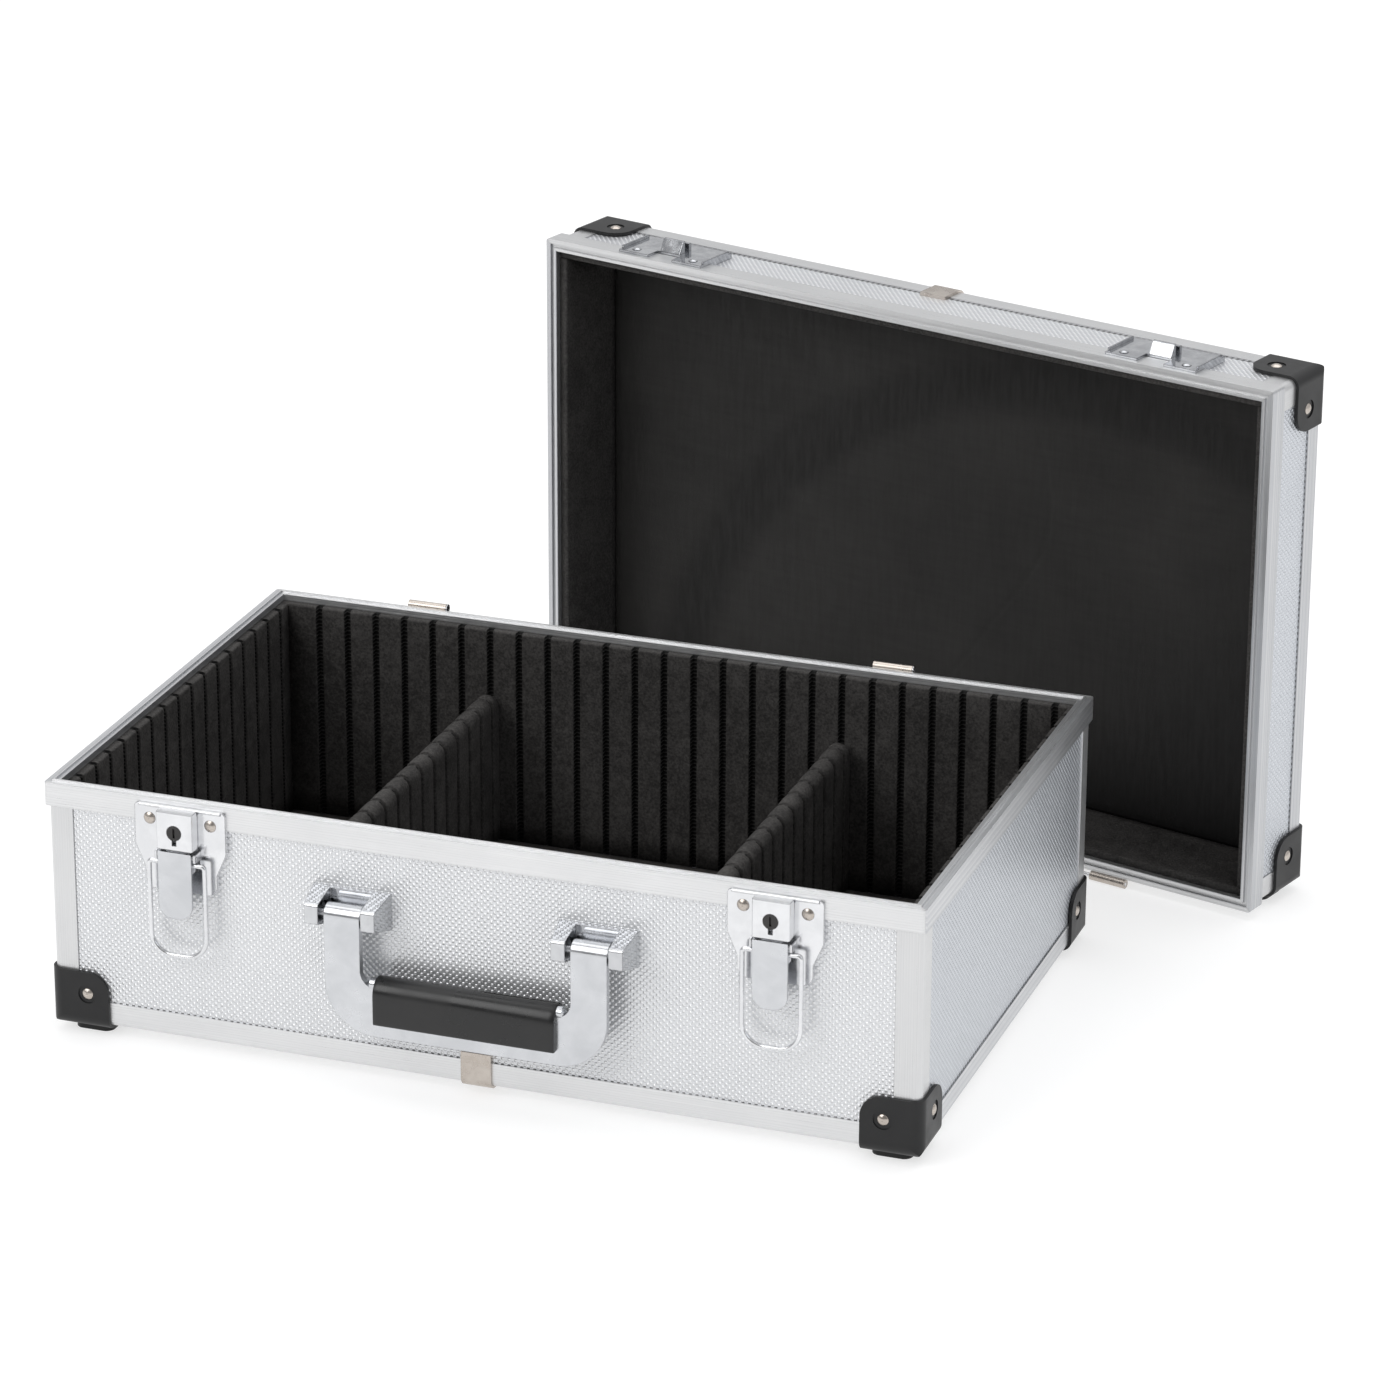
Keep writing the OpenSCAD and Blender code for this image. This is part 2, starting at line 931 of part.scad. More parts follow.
// Flat U-shaped bow with a barrel at the top of each leg.
module handle_bow() {
  out = handle_x + handle_leg_w / 2;
  inn = handle_x - handle_leg_w / 2;
  color(chrome)
    translate([0, -py, 0])
      difference() {
        union() {
          translate([0, bow_t - bow_front_q, bow_low])
            rotate([90, 0, 0])
              linear_extrude(bow_t)
                difference() {
                  round_tub(2 * out, handle_drop, bow_r);
                  translate([0, bow_bar])
                    round_tub(2 * inn, handle_drop, bow_fillet);
                }
          for (s = [-1, 1])
            translate([s * handle_x, -pivot_q, pivot_z])
              rotate([0, 90, 0])
                cylinder(h = handle_leg_w, r = barrel_r, center = true);
          // Knobs that stop the ends of the grip.
          for (s = [-1, 1])
            translate([s * grip_half, 3 - bow_front_q, grip_top - 4])
              rotate([0, s * 90, 0]) {
                cylinder(h = 3, r = knob_r);
                translate([0, 0, 3 - eps])
                  cylinder(h = 1.2, r1 = knob_r, r2 = knob_r - 1.2);
              }
        }
        for (s = [-1, 1])
          translate([s * handle_x, -pivot_q, pivot_z])
            rotate([0, 90, 0])
              cylinder(h = handle_leg_w + 2, r = handle_pin_r + running_gap, center = true);
      }
}

// Soft grip over the lower bar of the bow: flat in front, rolled at the top.
module handle_grip() {
  front_q = 22;
  back_q = 6;
  tall = grip_top - grip_low;
  roll_front = 7;
  roll_back = 6;
  color(black)
    translate([0, -py, 0])
      difference() {
        translate([0, 0, grip_low])
          rotate([90, 0, 90])
            linear_extrude(2 * grip_half, center = true)
              union() {
                translate([-front_q, 0])
                  square([front_q - back_q - roll_back, tall - roll_front]);
                translate([roll_front - front_q, 0])
                  square([front_q - back_q - roll_front - roll_back, tall]);
                translate([-back_q - roll_back, 0])
                  square([roll_back, tall - roll_back]);
                translate([roll_front - front_q, tall - roll_front])
                  circle(roll_front);
                translate([-back_q - roll_back, tall - roll_back])
                  circle(roll_back);
              }
        translate([-grip_half - 1, -bow_front_q, bow_low - 1])
          cube([2 * grip_half + 2, bow_t, bow_bar + 1.1]);
      }
}

// ---------- latches ----------

module plate_outline() {
  half = latch_w / 2;
  corner = 2.5;
  low_half = half - 5.5;
  lower = 6;
  window_half = 9.9;
  window_low = rim_z - 38;
  difference() {
    union() {
      translate([-half, rim_z - 26.5])
        square([latch_w, plate_top - rim_z + 26.5 - corner]);
      translate([corner - half, plate_top - 2 * corner])
        square([latch_w - 2 * corner, 2 * corner]);
      for (s = [-1, 1])
        translate([s * (half - corner), plate_top - corner])
          circle(corner);
      polygon([
        [-half, rim_z - 26.4],
        [half, rim_z - 26.4],
        [low_half, rim_z - 39],
        [-low_half, rim_z - 39]
      ]);
      translate([-low_half, plate_low + lower])
        square([2 * low_half, rim_z - 38.9 - plate_low - lower]);
      translate([lower - low_half, plate_low])
        square([2 * (low_half - lower), lower + 1]);
      for (s = [-1, 1])
        translate([s * (low_half - lower), plate_low + lower])
          circle(lower);
    }
    // Window behind the lever, tall enough for its tab to swing through.
    translate([-window_half, window_low])
      square([2 * window_half, lever_z + 5 - window_low]);
  }
}

module latch_plate() {
  difference() {
    union() {
      rotate([90, 0, 0])
        linear_extrude(plate_q)
          plate_outline();
      // Rolled upper edge.
      translate([0, -plate_q - 0.2, plate_top - 0.8])
        rotate([0, 90, 0])
          cylinder(h = latch_w - 5, r = 0.8, center = true);
      // Ears that carry the lever.
      for (s = [-1, 1])
        translate([s * 11 - 0.6, -lever_q - 1.5, lever_z - 2.2])
          cube([1.2, lever_q + 1.5 - plate_q + 1, 4.7]);
    }
    // Behind the upper part lies the rim flange.
    translate([-latch_w, -rim_flange_t, rim_z - rim_flange_h])
      cube([2 * latch_w, 10, rim_flange_h + 5]);
    latch_rivets_at(latch_rivet_z)
      translate([0, 0, -6])
        cylinder(h = 8, r = hole_r);
    translate([0, -lever_q, lever_z])
      rotate([0, 90, 0])
        cylinder(h = 40, r = pin_r + press_gap, center = true);
  }
}

module left_latch_plate() {
  color(chrome)
    latch_place(-1)
      latch_plate();
}

module right_latch_plate() {
  color(chrome)
    latch_place(1)
      latch_plate();
}

// Raised cover of the lock, open below.
module latch_housing() {
  wall = 1;
  depth = housing_q - plate_q;
  difference() {
    translate([0, -plate_q, housing_low])
      linear_extrude(housing_top - housing_low)
        intersection() {
          translate([0, -depth / 2])
            round_slab(housing_w, depth, 1.2);
          translate([-housing_w, -depth])
            square([2 * housing_w, depth]);
        }
    translate([wall - housing_w / 2, wall - housing_q, housing_low - 1])
      cube([housing_w - 2 * wall, depth - wall + 1, housing_top - housing_low + 1 - wall]);
    translate([0, -housing_q + 2, plug_z])
      rotate([90, 0, 0])
        cylinder(h = 4, r = plug_r + running_gap);
    translate([-1.2, -housing_q - 1, rim_z - 21.4])
      cube([2.4, 3, 6]);
    translate([0, -plate_q + 0.7, plate_top - 0.8])
      cube([housing_w + 2, 4, 4], center = true);
  }
}

module left_latch_housing() {
  color(chrome)
    latch_place(-1)
      latch_housing();
}

module right_latch_housing() {
  color(chrome)
    latch_place(1)
      latch_housing();
}

// Lock cylinder with a key slot in its face.
module lock_plug() {
  translate([0, 0, plug_z])
    rotate([90, 0, 0])
      difference() {
        translate([0, 0, housing_q - 4.9])
          cylinder(h = 5.1, r = plug_r);
        translate([-0.6, -2.6, housing_q - 1])
          cube([1.2, 5.2, 3]);
      }
}

module left_lock_plug() {
  color(black)
    latch_place(-1)
      lock_plug();
}

module right_lock_plug() {
  color(black)
    latch_place(1)
      lock_plug();
}

// Cam behind the cylinder; it points sideways while the latch is unlocked.
module lock_cam() {
  translate([0, 0, plug_z])
    rotate([90, 0, 0])
      translate([0, 0, housing_q - 6.1])
        linear_extrude(1.2) {
          circle(2.5);
          translate([0, -2.5])
            square([8.8, 5]);
        }
}

module left_lock_cam() {
  color(nickel)
    latch_place(-1)
      lock_cam();
}

module right_lock_cam() {
  color(nickel)
    latch_place(1)
      lock_cam();
}

// Hanging lever: front sheet, two cheeks and a tab that reaches up to the cam.
module latch_lever() {
  cheek_t = 1;
  cheek_low = rim_z - 36.5;
  cheek_q = 6.5;
  low_r = 8;
  tab_half = 6;
  tab_q = 8;
  tab_low = rim_z - 27;
  difference() {
    union() {
      translate([0, sheet_t - lever_front_q, 0])
        rotate([90, 0, 0])
          linear_extrude(sheet_t) {
            translate([-lever_half, lever_low + low_r])
              square([2 * lever_half, lever_top - lever_low - low_r]);
            translate([low_r - lever_half, lever_low])
              square([2 * (lever_half - low_r), low_r + 1]);
            for (s = [-1, 1])
              translate([s * (lever_half - low_r), lever_low + low_r])
                circle(low_r);
          }
      for (s = [-1, 1])
        translate([s > 0 ? lever_half - cheek_t : -lever_half, eps - lever_front_q, cheek_low])
          cube([cheek_t, lever_front_q - cheek_q, lever_top - cheek_low]);
      translate([-tab_half, -tab_q - sheet_t, tab_low])
        cube([2 * tab_half, sheet_t, 6]);
      translate([-tab_half, eps - lever_front_q, tab_low])
        cube([2 * tab_half, lever_front_q - tab_q, sheet_t]);
    }
    translate([0, -lever_q, lever_z])
      rotate([0, 90, 0])
        cylinder(h = 40, r = pin_r + running_gap, center = true);
    translate([0, -loop_q, loop_z])
      rotate([0, 90, 0])
        cylinder(h = 40, r = loop_wire / 2 + running_gap, center = true);
  }
}

module left_latch_lever() {
  color(chrome)
    latch_place(-1)
      latch_lever();
}

module right_latch_lever() {
  color(chrome)
    latch_place(1)
      latch_lever();
}

// Pins the levers turn on, held in the ears of the plates.
module lever_pins() {
  color(nickel)
    for (side = [-1, 1])
      latch_place(side)
        translate([0, -lever_q, lever_z])
          rotate([0, 90, 0])
            cylinder(h = 23.6, r = pin_r, center = true);
}

// Wire loop hanging from the lever, drawn from bent and straight lengths.
module latch_loop() {
  r = loop_wire / 2;
  down = loop_len - loop_bend;
  in_x = 8;
  bend = 2;
  translate([0, -loop_q, loop_z])
    union() {
      for (s = [-1, 1]) {
        translate([s * loop_x, 0, -down])
          cylinder(h = down - bend, r = r);
        translate([s > 0 ? in_x : bend - loop_x, 0, 0])
          rotate([0, 90, 0])
            cylinder(h = loop_x - bend - in_x, r = r);
        mirror([s > 0 ? 0 : 1, 0, 0]) {
          translate([loop_x - bend, 0, -bend])
            rotate([90, 0, 0])
              rotate_extrude(angle = 90)
                translate([bend, 0])
                  circle(r);
          translate([loop_x - loop_bend, 0, -down])
            rotate([90, 0, 0])
              rotate([0, 0, -90])
                rotate_extrude(angle = 90)
                  translate([loop_bend, 0])
                    circle(r);
        }
      }
      translate([0, 0, -loop_len])
        rotate([0, 90, 0])
          cylinder(h = 2 * (loop_x - loop_bend), r = r, center = true);
    }
}

module left_latch_loop() {
  color(chrome)
    latch_place(-1)
      latch_loop();
}

module right_latch_loop() {
  color(chrome)
    latch_place(1)
      latch_loop();
}

module base_hardware_rivets() {
  color(nickel) {
    for (s = [-1, 1])
      latch_place(s)
        latch_rivets_at(latch_rivet_z)
          rivet(3.4, 1.4, plate_q + panel_t);
    base_place()
      for (s = [-1, 1])
        hinge_rivets_at(s * hinge_x, base_h)
          rivet(2.6, 1.2, leaf_t + rim_flange_t + panel_t);
  }
}

// ---------- dividers ----------

module divider_place(side) {
  translate([
    slot_shift + side * divider_slot * slot_pitch,
    0,
    base_lift + floor_in + pad_t + soft_gap
  ])
    children();
}

module divider_board() {
  half = fy + slot_depth - soft_gap;
  wrap = (divider_t - board_t) / 2;
  translate([-board_t / 2, -half, 0])
    cube([board_t, 2 * half, divider_h - wrap]);
}

// Foam folded over the board, grooved on both faces, rounded on top.
module divider_foam() {
  half = fy - soft_gap;
  r = divider_t / 2;
  wrap = (divider_t - board_t) / 2;
  groove = wrap - 2;
  difference() {
    rotate([90, 0, 0])
      linear_extrude(2 * half, center = true)
        union() {
          translate([-r, 0])
            square([divider_t, divider_h - r]);
          translate([0, divider_h - r])
            circle(r);
        }
    translate([-board_t / 2, -half - 1, -1])
      cube([board_t, 2 * half + 2, divider_h - wrap + 1]);
    for (k = [-slots_side - 1 : slots_side], s = [-1, 1])
      translate([s > 0 ? r - groove : -r - 1, (k + 0.5) * slot_pitch - slot_w / 2, -1])
        cube([groove + 1, slot_w, divider_h + 2]);
  }
}

module left_divider_board() {
  color(foam_black)
    divider_place(-1)
      divider_board();
}

module right_divider_board() {
  color(foam_black)
    divider_place(1)
      divider_board();
}

module left_divider_foam() {
  color(foam_black)
    divider_place(-1)
      divider_foam();
}

module right_divider_foam() {
  color(foam_black)
    divider_place(1)
      divider_foam();
}

// ---------- lid nodes ----------

module catch_rivets_at() {
  for (side = [-1, 1], s = [-1, 1])
    translate([side * latch_x + s * catch_rivet_x, -py - plate_q, lid_h - hinge_rivet_up])
      rotate([90, 0, 0])
        children();
}

module lid_front_panel() {
  color(panel_silver)
    lid_place()
      difference() {
        long_panel(lid_h, -1);
        protector_holes(true);
        catch_rivets_at()
          translate([0, 0, -9])
            cylinder(h = 12, r = hole_r);
      }
}

module lid_back_panel() {
  color(panel_silver)
    lid_place()
      difference() {
        long_panel(lid_h, 1);
        protector_holes(true);
        for (s = [-1, 1])
          hinge_rivets_at(s * hinge_x, lid_h)
            translate([0, 0, -12])
              cylinder(h = 14, r = hole_r);
      }
}

module lid_left_panel() {
  color(panel_silver)
    lid_place()
      difference() {
        short_panel(lid_h, 1);
        protector_holes(true);
      }
}

module lid_right_panel() {
  color(panel_silver)
    lid_place()
      difference() {
        short_panel(lid_h, -1);
        protector_holes(true);
      }
}

module lid_top_panel() {
  color(panel_silver)
    lid_place()
      difference() {
        wide_panel();
        protector_holes(true);
      }
}

module lid_rim() {
  color(silver)
    lid_place()
      difference() {
        tray_rim(lid_h, false);
        catch_rivets_at()
          translate([0, 0, -9])
            cylinder(h = 12, r = hole_r);
        for (s = [-1, 1])
          hinge_rivets_at(s * hinge_x, lid_h)
            translate([0, 0, -12])
              cylinder(h = 14, r = hole_r);
      }
}

module lid_corner_posts() {
  color(silver)
    lid_place()
      at_corners()
        tray_post(lid_h);
}

module lid_top_edges() {
  color(silver)
    lid_place()
      tray_edges();
}

module lid_corner_protectors() {
  color(black)
    lid_place()
      for (mx = [0, 1])
        mirror([mx, 0, 0]) {
          protector(false, true);
          mirror([0, 1, 0])
            protector(false, false);
        }
}

module lid_protector_rivets() {
  color(nickel)
    lid_place()
      protector_rivet_set(true);
}

module lid_edge_clip() {
  color(nickel)
    lid_place()
      edge_clip();
}

// Striker plate with a raised hook for the loop, in the lid's tray frame.
// Distances from the rim plane of the lid run down from its height.
module catch(side) {
  half = 29;
  edge_near = 3;
  edge_far = 35;
  open_half = 8.5;
  open_far = 13.5;
  arm_half = 7;
  arm_near = hook_w - loop_wire / 2 - 0.6;
  arm_far = hook_w + loop_wire / 2 + 0.8;
  difference() {
    translate([side * latch_x, -py, lid_h])
      difference() {
        union() {
          translate([-half, -plate_q, -edge_far])
            cube([2 * half, plate_q, edge_far - edge_near]);
          // Turned-out side edges.
          for (s = [-1, 1])
            translate([s > 0 ? half - 1.3 : -half, -plate_q - 1.6, 3 - edge_far])
              cube([1.3, 2, edge_far - edge_near - 6]);
          // Taller sloping arm towards the rim, shorter arm behind it.
          rotate([90, 0, 90])
            linear_extrude(2 * arm_half, center = true)
              polygon([
                [-3, -open_far],
                [-3, -arm_near],
                [-10.6, -arm_near],
                [-10.2, 1.5 - arm_near]
              ]);
          translate([-arm_half, -8, -arm_far - 2.4])
            cube([2 * arm_half, 6, 2.4]);
        }
        translate([-half - 1, -rim_flange_t, -rim_flange_h])
          cube([2 * half + 2, 10, rim_flange_h + 5]);
        translate([-open_half, -20, -open_far])
          cube([2 * open_half, 30, open_far + 5]);
      }
    catch_rivets_at()
      translate([0, 0, -9])
        cylinder(h = 12, r = hole_r);
  }
}

module left_catch() {
  color(chrome)
    lid_place()
      catch(1);
}

module right_catch() {
  color(chrome)
    lid_place()
      catch(-1);
}

module lid_top_pad() {
  color(foam_black)
    lid_place()
      pad();
}

module lid_side_liners() {
  color(foam_black)
    lid_place()
      for (m = [0, 1]) {
        mirror([0, m, 0])
          long_foam(lid_h, false);
        mirror([m, 0, 0])
          short_foam(lid_h, false);
      }
}

module lid_hinge_leaves() {
  color(nickel)
    lid_place()
      for (s = [-1, 1])
        leaf(s * hinge_x, lid_h, hinge_pin_d / 2 + press_gap);
}

// Pins pressed into the lid knuckles, free over the length that slides out.
module hinge_pins() {
  color(nickel)
    lid_place()
      for (s = [-1, 1])
        translate([s * hinge_x - knuckle_off - knuckle_len, hy + axis_out, lid_h + axis_up])
          rotate([0, 90, 0])
            cylinder(h = knuckle_len + pin_free, r = hinge_pin_d / 2);
}

// All catch and leaf rivets of the lid but the one it turns on.
module lid_hardware_rivets() {
  color(nickel)
    lid_place() {
      catch_rivets_at()
        rivet(2.8, 1.2, plate_q + panel_t);
      difference() {
        for (s = [-1, 1])
          hinge_rivets_at(s * hinge_x, lid_h)
            rivet(2.6, 1.2, leaf_t + rim_flange_t + panel_t);
        translate([hinge_rivet_step - hinge_x, hy, lid_h - hinge_rivet_up])
          cube([8, 20, 8], center = true);
      }
    }
}

// The leaf rivet the lifted-off lid turns on, loose in its holes.
module lid_pivot_rivet() {
  color(nickel)
    lid_place()
      translate([hinge_rivet_step - hinge_x, hy + leaf_t + running_gap, lid_h - hinge_rivet_up])
        rotate([-90, 0, 0])
          rivet(2.6, 1.2, leaf_t + rim_flange_t + panel_t);
}

// ---------- drawing ----------

base_front_panel();
base_back_panel();
base_left_panel();
base_right_panel();
base_bottom_panel();
base_rim();
base_corner_posts();
base_bottom_edges();
base_corner_protectors();
base_protector_rivets();
base_edge_clip();
front_liner();
back_liner();
end_liners();
floor_pad();
base_hinge_leaves();
hinge_bushes();
handle_left_bracket();
handle_right_bracket();
bracket_screws();
handle_bow();
handle_grip();
handle_pins();
left_latch_plate();
right_latch_plate();
left_latch_housing();
right_latch_housing();
base_hardware_rivets();
left_lock_plug();
right_lock_plug();
left_lock_cam();
right_lock_cam();
left_latch_lever();
right_latch_lever();
lever_pins();
left_latch_loop();
right_latch_loop();
left_divider_board();
right_divider_board();
left_divider_foam();
right_divider_foam();
lid_front_panel();
lid_back_panel();
lid_left_panel();
lid_right_panel();
lid_top_panel();
lid_rim();
lid_corner_posts();
lid_top_edges();
lid_corner_protectors();
lid_protector_rivets();
lid_edge_clip();
left_catch();
right_catch();
lid_top_pad();
lid_side_liners();
lid_hinge_leaves();
hinge_pins();
lid_hardware_rivets();
lid_pivot_rivet();
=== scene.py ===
import math

import bmesh
import bpy
from mathutils import Matrix, Vector, noise


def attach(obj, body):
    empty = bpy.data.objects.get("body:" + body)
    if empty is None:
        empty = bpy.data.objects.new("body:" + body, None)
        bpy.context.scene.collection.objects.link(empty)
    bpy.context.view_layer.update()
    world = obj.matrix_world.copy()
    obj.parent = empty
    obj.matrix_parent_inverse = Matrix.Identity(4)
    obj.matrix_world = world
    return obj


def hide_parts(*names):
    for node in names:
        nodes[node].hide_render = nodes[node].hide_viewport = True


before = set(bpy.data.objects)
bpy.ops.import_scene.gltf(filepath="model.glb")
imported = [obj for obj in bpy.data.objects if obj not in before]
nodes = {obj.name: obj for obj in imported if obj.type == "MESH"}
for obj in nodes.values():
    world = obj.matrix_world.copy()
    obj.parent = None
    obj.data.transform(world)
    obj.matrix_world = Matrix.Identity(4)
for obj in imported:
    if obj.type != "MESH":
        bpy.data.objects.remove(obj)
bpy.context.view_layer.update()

# ---------- sizes, in millimetres ----------
HALF_W, HALF_D = 245.0, 155.0
BASE_H, LID_H = 138.5, 59.0
LEG_W, FLANGE_H = 14.5, 13.0
FLOOR_Z = -7.2
TRAY_LIFT = -0.7
FOAM_X, FOAM_Y, WALL_X, WALL_Y = 233.0, 143.0, 239.0, 149.0
FOAM_LOW, LINER_DROP = 4.7, 3.6
SLOT_PITCH, SLOT_W, SLOT_SHIFT = 17.6, 3.6, -2.8
LID_ORIGIN = Vector((90.2, 270.2, -1.8))
LID_YAW = math.radians(-15.3)
EMBOSS = 3.6
PANEL_FACE_Y = 153.0
FOAM_T, PAD_T, FOAM_SAG, LIP_R, LIP_REACH = 6.0, 3.0, 0.16, 1.3, 2.9
PHOTO_PX, FOCAL_PX, SENSOR_W = 1376, 5573.36, 36.0


def lid_point(x, y, z):
    """From the standing lid's own frame to the shared one: x across, y back, z up."""
    return LID_ORIGIN + Matrix.Rotation(LID_YAW, 3, "Z") @ Vector((x, y, z))


# ---------- finishes ----------


class Finish:
    """A procedural material. Lengths in its maths are in millimetres."""

    def __init__(self, name, **shader):
        self.material = bpy.data.materials.new(name)
        self.material.use_nodes = True
        self.tree = self.material.node_tree
        self.tree.nodes.clear()
        out = self.node("ShaderNodeOutputMaterial")
        self.shader = self.node("ShaderNodeBsdfPrincipled")
        self.tree.links.new(self.shader.outputs["BSDF"], out.inputs["Surface"])
        for key, value in shader.items():
            self.shader.inputs[key.replace("_", " ")].default_value = value

    def node(self, kind, **settings):
        made = self.tree.nodes.new(kind)
        for key, value in settings.items():
            setattr(made, key, value)
        return made

    def feed(self, socket, value):
        if isinstance(value, bpy.types.NodeSocket):
            self.tree.links.new(value, socket)
        else:
            socket.default_value = value

    def maths(self, operation, *values, clamp=False):
        made = self.node("ShaderNodeMath", operation=operation, use_clamp=clamp)
        for socket, value in zip(made.inputs, values):
            self.feed(socket, value)
        return made.outputs[0]

    def ramp(self, value, low, high, to_low=0.0, to_high=1.0):
        made = self.node("ShaderNodeMapRange")
        made.interpolation_type = "SMOOTHSTEP"
        for socket, v in zip(made.inputs, (value, low, high, to_low, to_high)):
            self.feed(socket, v)
        return made.outputs["Result"]

    def place(self, lid=False):
        """Coordinates of the tray that the piece belongs to, as three sockets."""
        where = self.node("ShaderNodeTexCoord")
        turn = self.node("ShaderNodeMapping")
        turn.inputs["Scale"].default_value = (1000, 1000, 1000)
        if lid:
            back = Matrix.Rotation(-LID_YAW, 3, "Z") @ LID_ORIGIN
            turn.inputs["Rotation"].default_value = (0, 0, -LID_YAW)
            turn.inputs["Location"].default_value = -back
        else:
            turn.inputs["Location"].default_value = (0, 0, -TRAY_LIFT)
        self.tree.links.new(where.outputs["Object"], turn.inputs["Vector"])
        parts = self.node("ShaderNodeSeparateXYZ")
        self.tree.links.new(turn.outputs["Vector"], parts.inputs[0])
        x, y, z = parts.outputs
        if lid:
            return x, self.maths("SUBTRACT", HALF_D, z), self.maths("SUBTRACT", LID_H, y)
        return x, y, z

    def vector(self, x, y, z=0.0):
        made = self.node("ShaderNodeCombineXYZ")
        for socket, value in zip(made.inputs, (x, y, z)):
            self.feed(socket, value)
        return made.outputs[0]

    def grain(self, vector, scale, detail=2.0, roughness=0.5, distortion=0.0):
        made = self.node("ShaderNodeTexNoise")
        for key, value in (
            ("Vector", vector),
            ("Scale", scale),
            ("Detail", detail),
            ("Roughness", roughness),
            ("Distortion", distortion),
        ):
            self.feed(made.inputs[key], value)
        return made.outputs["Fac"]

    def tint(self, fac, dark, light):
        made = self.node("ShaderNodeMix", data_type="RGBA")
        self.feed(made.inputs[0], fac)
        made.inputs[6].default_value = (*dark, 1)
        made.inputs[7].default_value = (*light, 1)
        return made.outputs[2]

    def shade(self, colour, amount, dark=(0.012, 0.012, 0.013, 1)):
        """Colour that gives way to the dark one as amount goes to 1."""
        made = self.node("ShaderNodeMix", data_type="RGBA")
        self.feed(made.inputs[0], amount)
        self.feed(made.inputs[6], colour)
        made.inputs[7].default_value = dark
        return made.outputs[2]

    def bump(self, height, depth_mm, under=None):
        made = self.node("ShaderNodeBump")
        made.inputs["Strength"].default_value = 1.0
        made.inputs["Distance"].default_value = depth_mm / 1000
        self.feed(made.inputs["Height"], height)
        if under is not None:
            self.tree.links.new(under, made.inputs["Normal"])
        return made.outputs["Normal"]

    def edges(self, radius_mm):
        """Normal rounded over the edges, and how near an edge is."""
        soft = self.node("ShaderNodeBevel", samples=4)
        soft.inputs["Radius"].default_value = radius_mm / 1000
        flat = self.node("ShaderNodeNewGeometry")
        both = self.node("ShaderNodeVectorMath", operation="DOT_PRODUCT")
        self.tree.links.new(soft.outputs[0], both.inputs[0])
        self.tree.links.new(flat.outputs["Normal"], both.inputs[1])
        return soft.outputs[0], self.ramp(both.outputs["Value"], 0.82, 0.985, 1.0, 0.0)

    def wear(self, colour=None, roughness=None, normal=None):
        for key, value in (
            ("Base Color", colour),
            ("Roughness", roughness),
            ("Normal", normal),
        ):
            if value is not None:
                self.feed(self.shader.inputs[key], value)
        return self.material


def embossed(name, across, up, lid, height):
    """Silver laminate pressed with a staggered grid of small pyramids."""
    f = Finish(name, Metallic=0.64)
    axes = dict(zip("xyz", f.place(lid)))
    u, v = axes[across], axes[up]
    step = 2 * math.pi / EMBOSS
    dots = f.maths(
        "MULTIPLY",
        f.maths("COSINE", f.maths("MULTIPLY", u, step)),
        f.maths("COSINE", f.maths("MULTIPLY", v, step)),
    )
    dome = f.ramp(dots, -0.15, 0.95)
    patchy = f.grain(f.vector(axes["x"], axes["y"], axes["z"]), 0.012, 3.0)
    tone = f.maths("ADD", f.maths("MULTIPLY", dome, 0.8), f.maths("MULTIPLY", patchy, 0.3))
    # The lid's front and back panels get darker hollows (more painted shade) and a deeper bump.
    bold = lid and (across, up) == ("x", "z")
    if bold:
        low_tone, high_tone = (0.58, 0.59, 0.62), (0.95, 0.953, 0.96)
    else:
        low_tone, high_tone = (0.66, 0.67, 0.69), (0.98, 0.983, 0.99)
    # Painted shade: the side panels are tinted darker and cooler, the base's more than the lid's.
    if across == "y":
        side = (0.85, 0.87, 0.90) if lid else (0.78, 0.80, 0.83)
        low_tone, high_tone = ([a * b for a, b in zip(side, t)] for t in (low_tone, high_tone))
    # Painted highlight and painted shade: the colour runs from darker hollows to lighter dot tops,
    # over a slow random tone.
    colour = f.tint(tone, low_tone, high_tone)
    # Painted shade: the hollows between the dots are darkened in a row of dashes where they meet
    # the edge trim, and thin bands are darkened under the rim flange and beside the corner posts.
    if up == "z":
        half = {"x": HALF_W, "y": HALF_D}[across]
        low = f.maths("ABSOLUTE", f.maths("SUBTRACT", v, LEG_W))
        wide = 1.7 if bold else 0.3 if across == "y" else 0.0
        seam_shade = f.ramp(low, 0.35 + wide, 0.95 + wide, 1.0, 0.0)
        wave = f.maths("COSINE", f.maths("MULTIPLY", u, step))
        dash = f.ramp(wave, -0.1, 0.5, min(wide / 2, 0.5), 1.0)
        high = f.maths("ABSOLUTE", f.maths("SUBTRACT", v, height - FLANGE_H))
        flange_shade = f.ramp(high, 0.0, 0.9, 0.45, 0.0)
        beside = f.maths("SUBTRACT", half - 1.3 - LEG_W, f.maths("ABSOLUTE", u))
        post = f.ramp(f.maths("ABSOLUTE", beside), 0.0, 0.8, 0.4, 0.0)
        dark = f.maths("MAXIMUM", f.maths("MULTIPLY", seam_shade, dash), f.maths("MAXIMUM", flange_shade, post))
        colour = f.shade(colour, f.maths("MULTIPLY", dark, 0.85, clamp=True))
    cloudy = f.maths("MULTIPLY_ADD", patchy, 0.08, 0.27)
    rough = f.maths("ADD", f.maths("MULTIPLY", dome, 0.10), cloudy)
    return f.wear(colour, rough, f.bump(dome, 0.6 if bold else 0.42))


